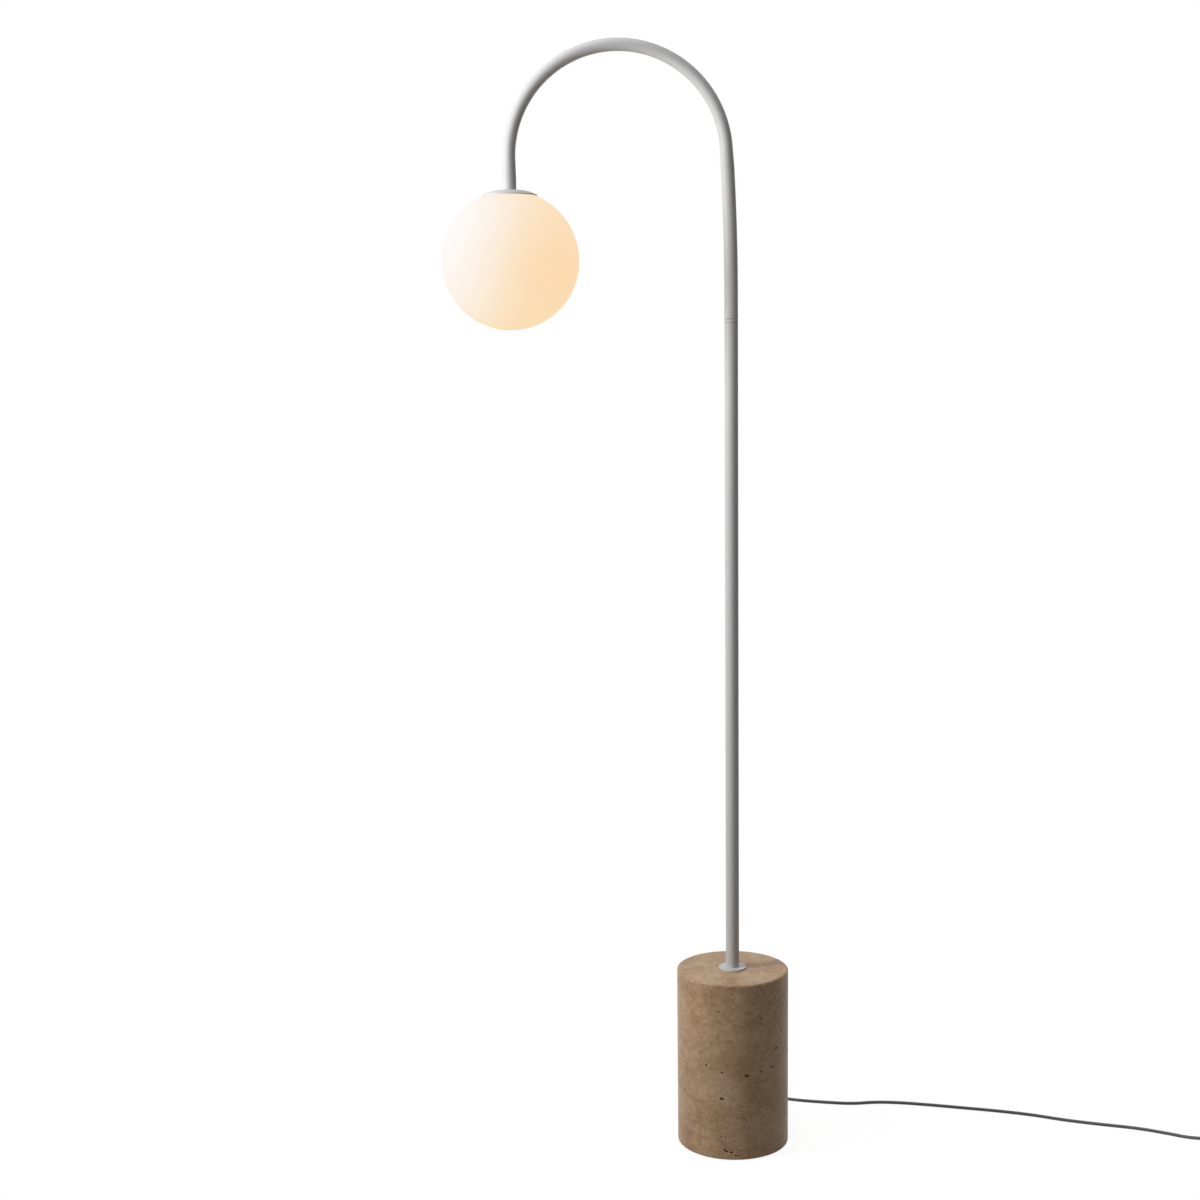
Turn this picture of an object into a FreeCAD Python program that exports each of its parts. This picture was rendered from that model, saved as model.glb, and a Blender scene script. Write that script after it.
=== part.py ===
import FreeCAD, Part
import math
import os

# Globe floor lamp. A round travertine block carries a straight painted pole. A bent tube turns on the
# pole's top, and an opal glass globe hangs from the tube's short end. Sizes are in millimetres, +Z is up,
# and the origin is the middle of the base on the floor. The arm points to -X, and the cord leaves at +Y.

# --- Driving dimensions -------------------------------------------------------------------------------

# Stone base and what closes its underside
base_radius = 84.5
base_height = 270.5
base_top_round = 3.0
base_foot_round = 2.0
pad_margin = 10.5
pad_thickness = 3.0
pad_sunk = 2.0
cover_margin = 14.5
cover_thickness = 2.5
cover_screw_margin = 7.5
cover_screw_count = 3
cover_screw_first_angle = 30.0
cover_screw_radius = 1.75
cover_screw_length = 16.0
cover_head_radius = 3.5
cover_head_height = 2.0
cover_plug_radius = 3.0
pocket_margin = 29.5
pocket_depth = 30.0

# Hollow tie rod through the stone
rod_radius = 5.0
rod_wall = 1.5
rod_hole_clearance = 1.0
rod_below_nut = 3.0
rod_in_foot = 16.0
washer_radius = 20.0
washer_thickness = 3.0
nut_flats = 17.0
nut_height = 6.0

# Pole
flange_radius = 21.0
flange_thickness = 2.5
flange_round = 1.2
pole_radius = 10.0
tube_wall = 1.5
pole_length = 971.0
foot_insert_length = 18.0

# Coupling between pole and arm
coupling_plug_length = 30.0
ring_height = 5.0
ring_chamfer = 0.5
spigot_radius = 7.0
spigot_length = 34.0
thrust_washer_thickness = 0.6
thrust_washer_margin = 0.4
turning_gap = 0.1
bush_length = 26.0
bush_clearance = 0.05
swivel_limit = 150.0
stop_clearance_angle = 1.0
screw_height = 12.0
screw_radius = 2.0
screw_tip_radius = 1.6
screw_tip_reach = 1.3
screw_socket_flats = 2.0
screw_socket_depth = 1.2
groove_clearance = 0.3

# Arm
arm_lean = 3.1
bend_radius = 157.5
bend_height = 1485.0
bend_flattening = 0.75
bend_widening = 0.5
rising_transition = 24.0
leg_length = 46.5
arm_insert_length = 16.0
plain_above_insert = 2.0

# Cable inside the lamp
cable_radius = 2.0
cable_bend_radius = 10.0
cable_gap = 0.5

# Head
cap_radius = 40.0
cap_height = 8.5
cap_flat_radius = 12.0
cap_lip = 1.5
cap_wall = 1.2
nipple_radius = 5.0
nipple_wall = 1.5
nipple_in_insert = 14.0
globe_radius = 100.0
glass_wall = 3.0
glass_gap = 0.3
glass_lip_round = 1.0
neck_radius = 34.0
neck_depth = 13.0
carrier_radius = 31.0
carrier_wall = 2.0
carrier_disc = 2.5
carrier_boss_radius = 12.0
carrier_boss_height = 5.0
carrier_skirt = 12.0
carrier_nut_flats = 14.0
carrier_nut_height = 4.0
clip_count = 3
clip_width = 8.0
clip_thickness = 0.5
clip_clearance = 0.1
holder_cap_radius = 13.0
holder_cap_wall = 2.0
holder_cap_height = 14.0
holder_cap_top = 4.0
holder_radius = 12.0
holder_height = 26.0
holder_shoulder = 8.0
holder_gap_below_nut = 2.0
pin_spacing = 9.0
pin_radius = 1.15
pin_length = 13.0
pin_clearance = 0.1
bulb_base_radius = 9.0
bulb_base_height = 8.0
bulb_radius = 10.5
bulb_length = 54.0
bulb_wall = 1.0
core_radius = 3.0
core_margin = 6.0

# Cord outlet, clamp and terminal block in the base
cord_radius = 2.5
cord_exit_height = 12.0
relief_sleeve_radius = 4.5
relief_sleeve_length = 14.0
relief_flange_radius = 7.0
relief_flange = 2.0
relief_length = 22.0
relief_root_radius = 5.2
relief_tip_radius = 3.4
clamp_margin = 11.0
clamp_width = 26.0
clamp_depth = 10.0
clamp_bar_height = 4.5
clamp_bar_gap = 0.4
clamp_screw_spacing = 17.0
clamp_screw_radius = 1.5
clamp_screw_hole_clearance = 0.2
clamp_head_radius = 2.8
clamp_head_height = 2.0
block_width = 30.0
block_depth = 16.0
block_height = 14.0
block_place = 20.0
terminal_radius = 1.8
terminal_height = 3.0
terminal_clearance = 0.2
terminal_sunk = 0.5
terminal_spacing = 10.0
terminal_rows = 9.0

# Foot switch, measured in its own frame with the cord along its length
switch_place = (782.0, -81.0)
switch_heading = -32.0
switch_length = 62.0
switch_width = 30.0
switch_corner = 9.0
switch_top = 21.0
switch_split = 10.0
switch_wall = 1.8
switch_edge_round = 2.0
switch_pad_thickness = 1.0
switch_pad_margin = 2.0
boot_length = 14.0
boot_root_radius = 5.0
boot_tip_radius = 3.3
boot_neck_radius = 3.2
boot_flange_radius = 4.2
boot_flange = 2.0
contacts_length = 26.0
contacts_width = 20.0
contacts_top = 11.0
button_radius = 11.0
button_clearance = 0.3
button_flange = 1.8
button_flange_height = 1.7
button_stand = 4.0
button_wall = 2.0
button_dome = 1.2
button_travel = 3.0
spring_radius = 6.5
spring_wire = 0.45
spring_turns = 5
switch_screw_place = (22.0, 9.0)
switch_screw_radius = 1.4
switch_screw_length = 14.0
switch_screw_head_radius = 2.6
switch_screw_head_height = 2.0
switch_boss_radius = 3.4
switch_screw_clearance = 0.2

# Cord on the floor and its put-away coil
floor_clearance = 0.1
coil_place = (856.0, -40.0)
coil_outer_radius = 38.5
coil_step = 5.6
coil_half_turns_in = 7
coil_half_turns_out = 6
tie_thickness = 0.7
tie_width = 10.0
tie_clearance = 0.4

# Plug, measured along its own axis from the tip of its relief
plug_place = (862.4, 78.1)
plug_heading = 115.5
plug_axis_height = 7.2
plug_relief_length = 24.0
plug_relief_root_radius = 5.5
plug_body_length = 32.0
plug_body_thickness = 13.6
plug_body_back_width = 17.0
plug_body_front_width = 27.0
plug_edge_round = 3.0
plug_pin_radius = 2.0
plug_pin_length = 19.0
plug_pin_spacing = 18.6

# Hand-chosen points of the cord's free stretches, between the fittings at their ends
mains_points = [
    (11, 148, 6), (38, 161, 2.6), (75, 154, 2.6), (117, 138.6, 2.6), (161, 129, 2.6), (202, 122.3, 2.6),
    (240, 128.6, 2.6), (281, 124.3, 2.6), (326, 113.8, 2.6), (375, 101, 2.6), (430, 86.3, 2.6),
    (478, 70.3, 2.6), (525, 47.5, 2.6), (575, 30.2, 2.6), (628, 14.3, 2.6), (668, -6.2, 2.6),
    (697, -26, 3.2),
]
coil_lead_points = [(862, -118.5, 4.5), (884, -104, 3.3)]
plug_lead_points = [(886, 16, 5.6), (880, 41, 5.2)]
first_run = 20.0
coil_lead_last_run = 27.0
plug_lead_first_run = 26.0

os.makedirs("parts", exist_ok=True)

# --- Tools for the shapes -----------------------------------------------------------------------------

FULL = 360.0


def vec(x, y, z):
    return FreeCAD.Vector(x, y, z)


UP = vec(0, 0, 1)
ALONG_X = vec(1, 0, 0)
ALONG_Y = vec(0, 1, 0)


def save(name, *solids):
    """Writes one named piece; like pieces may be several solids of one name."""
    shape = solids[0] if len(solids) == 1 else Part.makeCompound(list(solids))
    for solid in shape.Solids:
        if not solid.isValid():
            print("not valid:", name)
    shape.exportStep("parts/" + name + ".step")
    return shape


def cylinder(radius, low, high, x=0.0, y=0.0):
    return Part.makeCylinder(radius, high - low, vec(x, y, low))


def ring(outer, inner, low, high, x=0.0, y=0.0):
    return cylinder(outer, low, high, x, y).cut(cylinder(inner, low, high, x, y))


def block(x_size, y_size, low, high, x=0.0, y=0.0):
    return Part.makeBox(x_size, y_size, high - low, vec(x - x_size / 2, y - y_size / 2, low))


def hexagon(flats, low, high, x=0.0, y=0.0):
    corner = flats / math.sqrt(3)
    points = [vec(x + corner * math.cos(math.radians(60 * k)), y + corner * math.sin(math.radians(60 * k)), low)
              for k in range(7)]
    return Part.Face(Part.makePolygon(points)).extrude(vec(0, 0, high - low))


def arc_step(centre_r, centre_z, radius, start, end):
    """An arc of an outline about a centre, from one angle to another, as its middle and end point."""
    middle = math.radians((start + end) / 2)
    last = math.radians(end)
    return (centre_r + radius * math.cos(middle), centre_z + radius * math.sin(middle),
            centre_r + radius * math.cos(last), centre_z + radius * math.sin(last))


def outline(*steps):
    """Closed wire in the XZ plane: two numbers go straight to a point, four go there by an arc."""
    start = here = vec(steps[0][0], 0, steps[0][1])
    edges = []
    for step in steps[1:]:
        there = vec(step[-2], 0, step[-1])
        if len(step) == 4:
            edges.append(Part.Arc(here, vec(step[0], 0, step[1]), there).toShape())
        else:
            edges.append(Part.makeLine(here, there))
        here = there
    if here.distanceToPoint(start) > 1e-6:
        edges.append(Part.makeLine(here, start))
    return Part.Wire(edges)


def turned(*steps):
    """A piece turned about the Z axis from its half section."""
    return Part.Face(outline(*steps)).revolve(vec(0, 0, 0), UP, FULL)


def moved(shape, x, y, z=0.0, heading=0.0):
    copy = shape.copy()
    copy.rotate(vec(0, 0, 0), UP, heading)
    copy.translate(vec(x, y, z))
    return copy


def rounded_slab(length, width, corner, low, high):
    """An upright slab with round corners, centred on the Z axis."""
    x, y = length / 2 - corner, width / 2 - corner
    bow = corner * math.sqrt(0.5)
    edges = []
    for k, (cx, cy) in enumerate([(x, y), (-x, y), (-x, -y), (x, -y)]):
        a0, a1, a2 = (math.radians(90 * k + turn) for turn in (0, 45, 90))
        p0, p1, p2 = (vec(cx + corner * math.cos(a), cy + corner * math.sin(a), low) for a in (a0, a1, a2))
        edges.append(Part.Arc(p0, p1, p2).toShape())
        nx, ny = [(-x, y), (-x, -y), (x, -y), (x, y)][k]
        a = math.radians(90 * k + 90)
        edges.append(Part.makeLine(p2, vec(nx + corner * math.cos(a), ny + corner * math.sin(a), low)))
    return Part.Face(Part.Wire(Part.__sortEdges__(edges))).extrude(vec(0, 0, high - low))


def rounded_edges_at(shape, height, radius):
    """Rounds the edges that lie flat at one height."""
    edges = [e for e in shape.Edges
             if abs(e.BoundBox.ZMin - height) < 1e-4 and abs(e.BoundBox.ZMax - height) < 1e-4]
    return shape.makeFillet(radius, edges)


def route(points):
    """Straight runs joined by tangent arcs, each as large as its two runs allow. Returns the wire and radii."""
    here = points[0]
    edges, radii = [], []
    for before, corner, after in zip(points, points[1:], points[2:]):
        back, ahead = before - corner, after - corner
        turn = math.pi - back.getAngle(ahead)
        reach = 0.45 * min(back.Length, ahead.Length)
        radius = reach / math.tan(turn / 2)
        first = corner + back.normalize() * reach
        last = corner + ahead.normalize() * reach
        inward = (back + ahead).normalize()
        middle = corner + inward * (radius / math.cos(turn / 2) - radius)
        edges += [Part.LineSegment(here, first).toShape(), Part.Arc(first, middle, last).toShape()]
        here = last
        radii.append(radius)
    edges.append(Part.LineSegment(here, points[-1]).toShape())
    return Part.Wire(edges), radii


def tube_along(wire, radius):
    """A solid round tube along a smooth wire."""
    first = wire.Edges[0]
    start = first.valueAt(first.FirstParameter)
    heading = first.tangentAt(first.FirstParameter)
    section = Part.Wire(Part.makeCircle(radius, start, heading))
    shell = Part.BRepOffsetAPI.MakePipeShell(wire)
    shell.add(section)
    shell.build()
    shell.makeSolid()
    return shell.shape()


def free_cord(name, points):
    """A free stretch of cord, with its radii and its volume against section times length."""
    wire, radii = route(points)
    tube = tube_along(wire, cord_radius)
    ideal = math.pi * cord_radius ** 2 * wire.Length
    print(name, "length %.0f" % wire.Length, "volume share %.4f" % (tube.Volume / ideal),
          "radii", " ".join("%.0f" % r for r in radii))
    return save(name, tube)


# --- Heights and radii that follow from the dimensions ----------------------------------------------------------

pad_radius = base_radius - pad_margin
cover_radius = base_radius - cover_margin
cover_screw_circle = cover_radius - cover_screw_margin
pocket_radius = base_radius - pocket_margin
stone_bottom = pad_thickness - pad_sunk
stone_top = stone_bottom + base_height
pad_top = pad_thickness
cover_top = pad_top + cover_thickness
pocket_ceiling = cover_top + pocket_depth
pole_foot = stone_top + flange_thickness
pole_top = pole_foot + pole_length
ring_top = pole_top + ring_height
spigot_top = ring_top + spigot_length
thrust_top = ring_top + thrust_washer_thickness
arm_foot = thrust_top + turning_gap
pole_inner_radius = pole_radius - tube_wall
rod_bore_radius = rod_radius - rod_wall
nipple_bore_radius = nipple_radius - nipple_wall

# --- Stone base ---------------------------------------------------------------------------------------

stone_bore_radius = rod_radius + rod_hole_clearance
pad_seat_radius = pad_radius + glass_gap
cover_seat_radius = cover_radius + glass_gap
plug_depth = cover_screw_length
channel_start = pocket_radius - 1.0
channel_length = base_radius - channel_start + 1.0


def around_base(count, first_angle, circle):
    """Places spread evenly on a circle about the Z axis."""
    angles = [math.radians(first_angle + FULL * k / count) for k in range(count)]
    return [(circle * math.cos(a), circle * math.sin(a)) for a in angles]


cover_screw_places = around_base(cover_screw_count, cover_screw_first_angle, cover_screw_circle)

stone = turned(
    (stone_bore_radius, stone_top),
    (base_radius - base_top_round, stone_top),
    arc_step(base_radius - base_top_round, stone_top - base_top_round, base_top_round, 90, 0),
    (base_radius, stone_bottom + base_foot_round),
    arc_step(base_radius - base_foot_round, stone_bottom + base_foot_round, base_foot_round, 0, -90),
    (pad_seat_radius, stone_bottom),
    (pad_seat_radius, pad_top),
    (cover_seat_radius, pad_top),
    (cover_seat_radius, cover_top),
    (pocket_radius, cover_top),
    (pocket_radius, pocket_ceiling),
    (stone_bore_radius, pocket_ceiling),
)
stone = stone.cut(Part.makeCylinder(relief_sleeve_radius, channel_length,
                                    vec(0, channel_start, cord_exit_height), ALONG_Y))
for x, y in cover_screw_places:
    stone = stone.cut(cylinder(cover_plug_radius, cover_top, cover_top + plug_depth, x, y))
save("travertine_base", stone)

save("floor_pad", cylinder(pad_radius, 0, pad_top))

cover = cylinder(cover_radius, pad_top, cover_top)
screws, plugs = [], []
for x, y in cover_screw_places:
    head = Part.makeCone(cover_head_radius, cover_screw_radius, cover_head_height, vec(x, y, pad_top))
    shank = cylinder(cover_screw_radius, pad_top + cover_head_height, pad_top + cover_screw_length, x, y)
    screw = head.fuse(shank).removeSplitter()
    cover = cover.cut(screw)
    screws.append(screw)
    plug = cylinder(cover_plug_radius, cover_top, cover_top + plug_depth, x, y)
    plugs.append(plug.cut(screw))
save("cover_plate", cover)
save("cover_screws", *screws)
save("cover_plugs", *plugs)

# --- Tie rod, washer and nut --------------------------------------------------------------------------

washer_low = pocket_ceiling - washer_thickness
nut_low = washer_low - nut_height
rod_low = nut_low - rod_below_nut
rod_high = pole_foot + rod_in_foot
save("tie_rod", ring(rod_radius, rod_bore_radius, rod_low, rod_high))
save("tie_washer", ring(washer_radius, stone_bore_radius, washer_low, pocket_ceiling))
save("tie_nut", hexagon(nut_flats, nut_low, washer_low).cut(cylinder(rod_radius, nut_low, washer_low)))

# --- Cord outlet, clamp and terminal block ------------------------------------------------------------

relief_tip = base_radius + relief_length
relief_inner_end = base_radius - relief_sleeve_length
cable_end_at_block = block_place + block_depth / 2

relief = turned(
    (cord_radius, relief_inner_end),
    (relief_sleeve_radius, relief_inner_end),
    (relief_sleeve_radius, base_radius),
    (relief_flange_radius, base_radius),
    (relief_flange_radius, base_radius + relief_flange),
    (relief_root_radius, base_radius + relief_flange),
    (relief_tip_radius, relief_tip),
    (cord_radius, relief_tip),
)
relief.rotate(vec(0, 0, 0), ALONG_X, -90)
relief.translate(vec(0, 0, cord_exit_height))
save("strain_relief", relief)
base_cable = Part.makeCylinder(cord_radius, relief_tip - cable_end_at_block,
                               vec(0, cable_end_at_block, cord_exit_height), ALONG_Y)
save("base_cable", base_cable)

clamp_place = pocket_radius - clamp_margin
clamp_bar_low = cord_exit_height + clamp_bar_gap
clamp_bar_high = clamp_bar_low + clamp_bar_height
saddle = block(clamp_width, clamp_depth, cover_top, cord_exit_height, 0, clamp_place).cut(base_cable)
bar = block(clamp_width, clamp_depth, clamp_bar_low, clamp_bar_high, 0, clamp_place).cut(base_cable)
clamp_screws = []
for x in (-clamp_screw_spacing / 2, clamp_screw_spacing / 2):
    shank = cylinder(clamp_screw_radius, cover_top + 1.0, clamp_bar_high, x, clamp_place)
    saddle = saddle.cut(shank)
    bar = bar.cut(cylinder(clamp_screw_radius + clamp_screw_hole_clearance, clamp_bar_low, clamp_bar_high,
                           x, clamp_place))
    head = cylinder(clamp_head_radius, clamp_bar_high, clamp_bar_high + clamp_head_height, x, clamp_place)
    clamp_screws.append(shank.fuse(head).removeSplitter())
save("clamp_saddle", saddle)
save("clamp_bar", bar)
save("clamp_screws", *clamp_screws)

block_top = cover_top + block_height
terminals = block(block_width, block_depth, cover_top, block_top, 0, block_place)
terminal_screws = []
for x in (-terminal_spacing / 2, terminal_spacing / 2):
    for y in (block_place - terminal_rows / 2, block_place + terminal_rows / 2):
        low = block_top - terminal_sunk - terminal_height
        terminals = terminals.cut(cylinder(terminal_radius + terminal_clearance, low, block_top, x, y))
        slot = block(2 * terminal_radius, terminal_radius / 3, block_top - 2 * terminal_sunk, block_top, x, y)
        terminal_screws.append(cylinder(terminal_radius, low, block_top - terminal_sunk, x, y).cut(slot))
save("terminal_block", terminals)
save("terminal_screws", *terminal_screws)

# --- Pole ---------------------------------------------------------------------------------------------

flange_hole_radius = stone_bore_radius
save("pole_flange", turned(
    (flange_hole_radius, stone_top),
    (flange_radius, stone_top),
    (flange_radius, pole_foot - flange_round),
    arc_step(flange_radius - flange_round, pole_foot - flange_round, flange_round, 0, 90),
    (flange_hole_radius, pole_foot),
))
save("lower_pole", ring(pole_radius, pole_inner_radius, pole_foot, pole_top))
save("foot_insert", ring(pole_inner_radius, rod_radius, pole_foot, pole_foot + foot_insert_length))

cable_turn_high = cord_exit_height + cable_bend_radius
cable_bow = cable_bend_radius * (1 - math.sqrt(0.5))
pole_cable_path = Part.Wire([
    Part.makeLine(vec(0, block_place - block_depth / 2, cord_exit_height),
                  vec(0, cable_bend_radius, cord_exit_height)),
    Part.Arc(vec(0, cable_bend_radius, cord_exit_height), vec(0, cable_bow, cord_exit_height + cable_bow),
             vec(0, 0, cable_turn_high)).toShape(),
    Part.makeLine(vec(0, 0, cable_turn_high), vec(0, 0, spigot_top)),
])
save("pole_cable", tube_along(pole_cable_path, cable_radius))

# --- Coupling that the arm turns on -------------------------------------------------------------------

screw_z = arm_foot + screw_height
groove_floor = spigot_radius - screw_tip_reach - groove_clearance
groove_half_height = screw_tip_radius + groove_clearance
tip_half_angle = math.degrees(math.asin(screw_tip_radius / (spigot_radius - screw_tip_reach)))
land_half_angle = 180.0 - swivel_limit - tip_half_angle - stop_clearance_angle

coupling = turned(
    (rod_bore_radius, pole_top - coupling_plug_length),
    (pole_inner_radius, pole_top - coupling_plug_length),
    (pole_inner_radius, pole_top),
    (pole_radius - ring_chamfer, pole_top),
    (pole_radius, pole_top + ring_chamfer),
    (pole_radius, ring_top - ring_chamfer),
    (pole_radius - ring_chamfer, ring_top),
    (spigot_radius, ring_top),
    (spigot_radius, spigot_top),
    (rod_bore_radius, spigot_top),
)
groove = Part.makeCylinder(spigot_radius + 1.0, 2 * groove_half_height,
                           vec(0, 0, screw_z - groove_half_height), UP, FULL - 2 * land_half_angle)
groove = groove.cut(cylinder(groove_floor, screw_z - groove_half_height, screw_z + groove_half_height))
groove.rotate(vec(0, 0, 0), UP, land_half_angle - 90.0)
save("pole_coupling", coupling.cut(groove))

save("thrust_washer", ring(pole_radius - thrust_washer_margin, spigot_radius + 2 * bush_clearance,
                           ring_top, thrust_top))

swivel_screw = Part.makeCylinder(screw_radius, pole_radius - spigot_radius - 2 * bush_clearance,
                                 vec(0, spigot_radius + 2 * bush_clearance, screw_z), ALONG_Y)
swivel_screw = swivel_screw.fuse(Part.makeCylinder(
    screw_tip_radius, screw_tip_reach + 2 * bush_clearance,
    vec(0, spigot_radius - screw_tip_reach, screw_z), ALONG_Y)).removeSplitter()
socket = hexagon(screw_socket_flats, 0, screw_socket_depth)
socket.rotate(vec(0, 0, 0), ALONG_X, -90)
socket.translate(vec(0, pole_radius - screw_socket_depth, screw_z))
screw_hole = Part.makeCylinder(screw_radius, 2 * pole_radius, vec(0, 0, screw_z), ALONG_Y)
save("swivel_screw", swivel_screw.cut(socket))
save("arm_bush", ring(pole_inner_radius, spigot_radius + bush_clearance,
                      arm_foot, arm_foot + bush_length).cut(screw_hole))

# --- Arm ----------------------------------------------------------------------------------------------

lean = math.radians(arm_lean)
straight_top = spigot_top + cable_gap
lean_radius = (bend_height + bend_radius * math.sin(lean) - rising_transition * math.cos(lean)
               - straight_top) / math.sin(lean)
lean_end = vec(-lean_radius * (1 - math.cos(lean)), 0, straight_top + lean_radius * math.sin(lean))
bend_start = lean_end + vec(-math.sin(lean), 0, math.cos(lean)) * rising_transition
bend_centre = vec(bend_start.x - bend_radius * math.cos(lean), 0, bend_height)
head_x = bend_centre.x - bend_radius
cap_top = bend_height - leg_length
leg_plain = cap_top + arm_insert_length + plain_above_insert


def arm_core(round_radius, flattening, widening):
    """The arm's outer shape, or its bore: round where it is straight, flattened in its bend."""
    rising = vec(-math.sin(lean), 0, math.cos(lean))
    in_plane, across = round_radius - flattening, round_radius + widening

    def circle(centre, direction):
        return Part.Wire(Part.makeCircle(round_radius, centre, direction))

    def oval(centre, direction, in_plane_direction):
        shape = Part.Ellipse(centre + ALONG_Y * across, centre + in_plane_direction * in_plane, centre)
        return Part.Wire(shape.toShape())

    level = vec(math.cos(lean), 0, math.sin(lean))
    lean_axis = vec(-lean_radius, 0, straight_top)
    foot = cylinder(round_radius, arm_foot, straight_top)
    leaning = Part.Face(circle(vec(0, 0, straight_top), UP)).revolve(lean_axis, vec(0, -1, 0), arm_lean)
    rising_part = Part.makeLoft([circle(lean_end, rising), oval(bend_start, rising, level)], True)
    bend = Part.Face(oval(bend_start, rising, level)).revolve(bend_centre, vec(0, -1, 0), 180.0 - arm_lean)
    end = vec(head_x, 0, bend_height)
    falling_part = Part.makeLoft([oval(end, UP, ALONG_X * -1), circle(vec(head_x, 0, leg_plain), UP)], True)
    leg = cylinder(round_radius, cap_top, leg_plain, head_x)
    return foot.multiFuse([leaning, rising_part, bend, falling_part, leg])


arm = arm_core(pole_radius, bend_flattening, bend_widening).cut(
    arm_core(pole_inner_radius, bend_flattening, bend_widening))
save("arm_tube", arm.cut(screw_hole))
save("arm_insert", ring(pole_inner_radius, nipple_radius, cap_top, cap_top + arm_insert_length, head_x))

# --- Cap and carrier ----------------------------------------------------------------------------------

cap_rim = cap_top - cap_height
cap_inside = cap_top - cap_wall
dome_drop = cap_height - cap_lip
dome_run = cap_radius - cap_flat_radius
dome_radius = (dome_run ** 2 + dome_drop ** 2) / (2 * dome_drop)
dome_centre = cap_top - dome_radius
rim_inner_radius = cap_radius - cap_wall
outer_dome_end = math.degrees(math.acos(dome_run / dome_radius))
inner_dome_end = math.degrees(math.acos((dome_run - cap_wall) / (dome_radius - cap_wall)))
cap = turned(
    (nipple_radius, cap_top),
    (cap_flat_radius, cap_top),
    arc_step(cap_flat_radius, dome_centre, dome_radius, 90, outer_dome_end),
    (cap_radius, cap_rim),
    (rim_inner_radius, cap_rim),
    (rim_inner_radius, dome_centre + (dome_radius - cap_wall) * math.sin(math.radians(inner_dome_end))),
    arc_step(cap_flat_radius, dome_centre, dome_radius - cap_wall, inner_dome_end, 90),
    (nipple_radius, cap_inside),
)
save("globe_cap", moved(cap, head_x, 0))

disc_top = cap_inside - carrier_boss_height
disc_low = disc_top - carrier_disc
skirt_low = disc_low - carrier_skirt
carrier = turned(
    (nipple_radius, cap_inside),
    (carrier_boss_radius, cap_inside),
    (carrier_boss_radius, disc_top),
    (carrier_radius, disc_top),
    (carrier_radius, skirt_low),
    (carrier_radius - carrier_wall, skirt_low),
    (carrier_radius - carrier_wall, disc_low),
    (nipple_radius, disc_low),
)
save("globe_carrier", moved(carrier, head_x, 0))

nut_bottom = disc_low - carrier_nut_height
save("carrier_nut", hexagon(carrier_nut_flats, nut_bottom, disc_low, head_x).cut(
    cylinder(nipple_radius, nut_bottom, disc_low, head_x)))

# Leaf springs: strips that stand on the carrier's skirt and bow out to the glass neck
clip_bow = math.sqrt((neck_radius - clip_clearance) ** 2 - (clip_width / 2) ** 2)
clip_high = disc_low - 0.5
clip_low = skirt_low + 0.5
clip_middle = (clip_high + clip_low) / 2
clip_flat = 1.5
clip_foot = math.sqrt(carrier_radius ** 2 - (clip_width / 2) ** 2)
clip_foot_outer = carrier_radius + clip_thickness
clips = []
for k in range(clip_count):
    strip = Part.Face(outline(
        (carrier_radius, clip_high),
        (clip_foot_outer, clip_high),
        (clip_foot_outer, clip_high - clip_flat),
        (clip_bow, clip_middle),
        (clip_foot_outer, clip_low),
        (carrier_radius, clip_low),
        (clip_bow - clip_thickness, clip_middle),
        (carrier_radius, clip_high - clip_flat),
    )).extrude(vec(0, clip_width, 0))
    strip.translate(vec(0, -clip_width / 2, 0))
    clips.append(moved(strip, head_x, 0, 0, FULL * k / clip_count))
save("globe_springs", *clips)

# --- Lampholder and bulb ------------------------------------------------------------------------------

holder_cap_high = nut_bottom - holder_gap_below_nut
holder_cap_low = holder_cap_high - holder_cap_height
holder_top = holder_cap_low + holder_shoulder
holder_low = holder_top - holder_height
holder_neck_radius = holder_cap_radius - holder_cap_wall
nipple_low = holder_cap_high - holder_cap_top
save("cap_nipple", ring(nipple_radius, nipple_bore_radius, nipple_low, cap_top + nipple_in_insert, head_x))
save("holder_cap", moved(turned(
    (nipple_radius, holder_cap_high),
    (holder_cap_radius, holder_cap_high),
    (holder_cap_radius, holder_cap_low),
    (holder_neck_radius, holder_cap_low),
    (holder_neck_radius, nipple_low),
    (nipple_radius, nipple_low),
), head_x, 0))

pin_places = [head_x - pin_spacing / 2, head_x + pin_spacing / 2]
holder = cylinder(holder_radius, holder_low, holder_cap_low, head_x).fuse(
    cylinder(holder_neck_radius, holder_cap_low, holder_top, head_x)).removeSplitter()
for x in pin_places:
    holder = holder.cut(cylinder(pin_radius + pin_clearance, holder_low, holder_low + pin_length + 1.0, x))
save("lampholder", holder)

bulb_seat = holder_low - 2 * pin_clearance
bulb_base_low = bulb_seat - bulb_base_height
save("bulb_pins", *[cylinder(pin_radius, bulb_base_low + 2.0, holder_low + pin_length, x) for x in pin_places])
bulb_base = cylinder(bulb_base_radius, bulb_base_low, bulb_seat, head_x)
for x in pin_places:
    bulb_base = bulb_base.cut(cylinder(pin_radius, bulb_base_low + 2.0, bulb_seat, x))
save("bulb_base", bulb_base)

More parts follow.
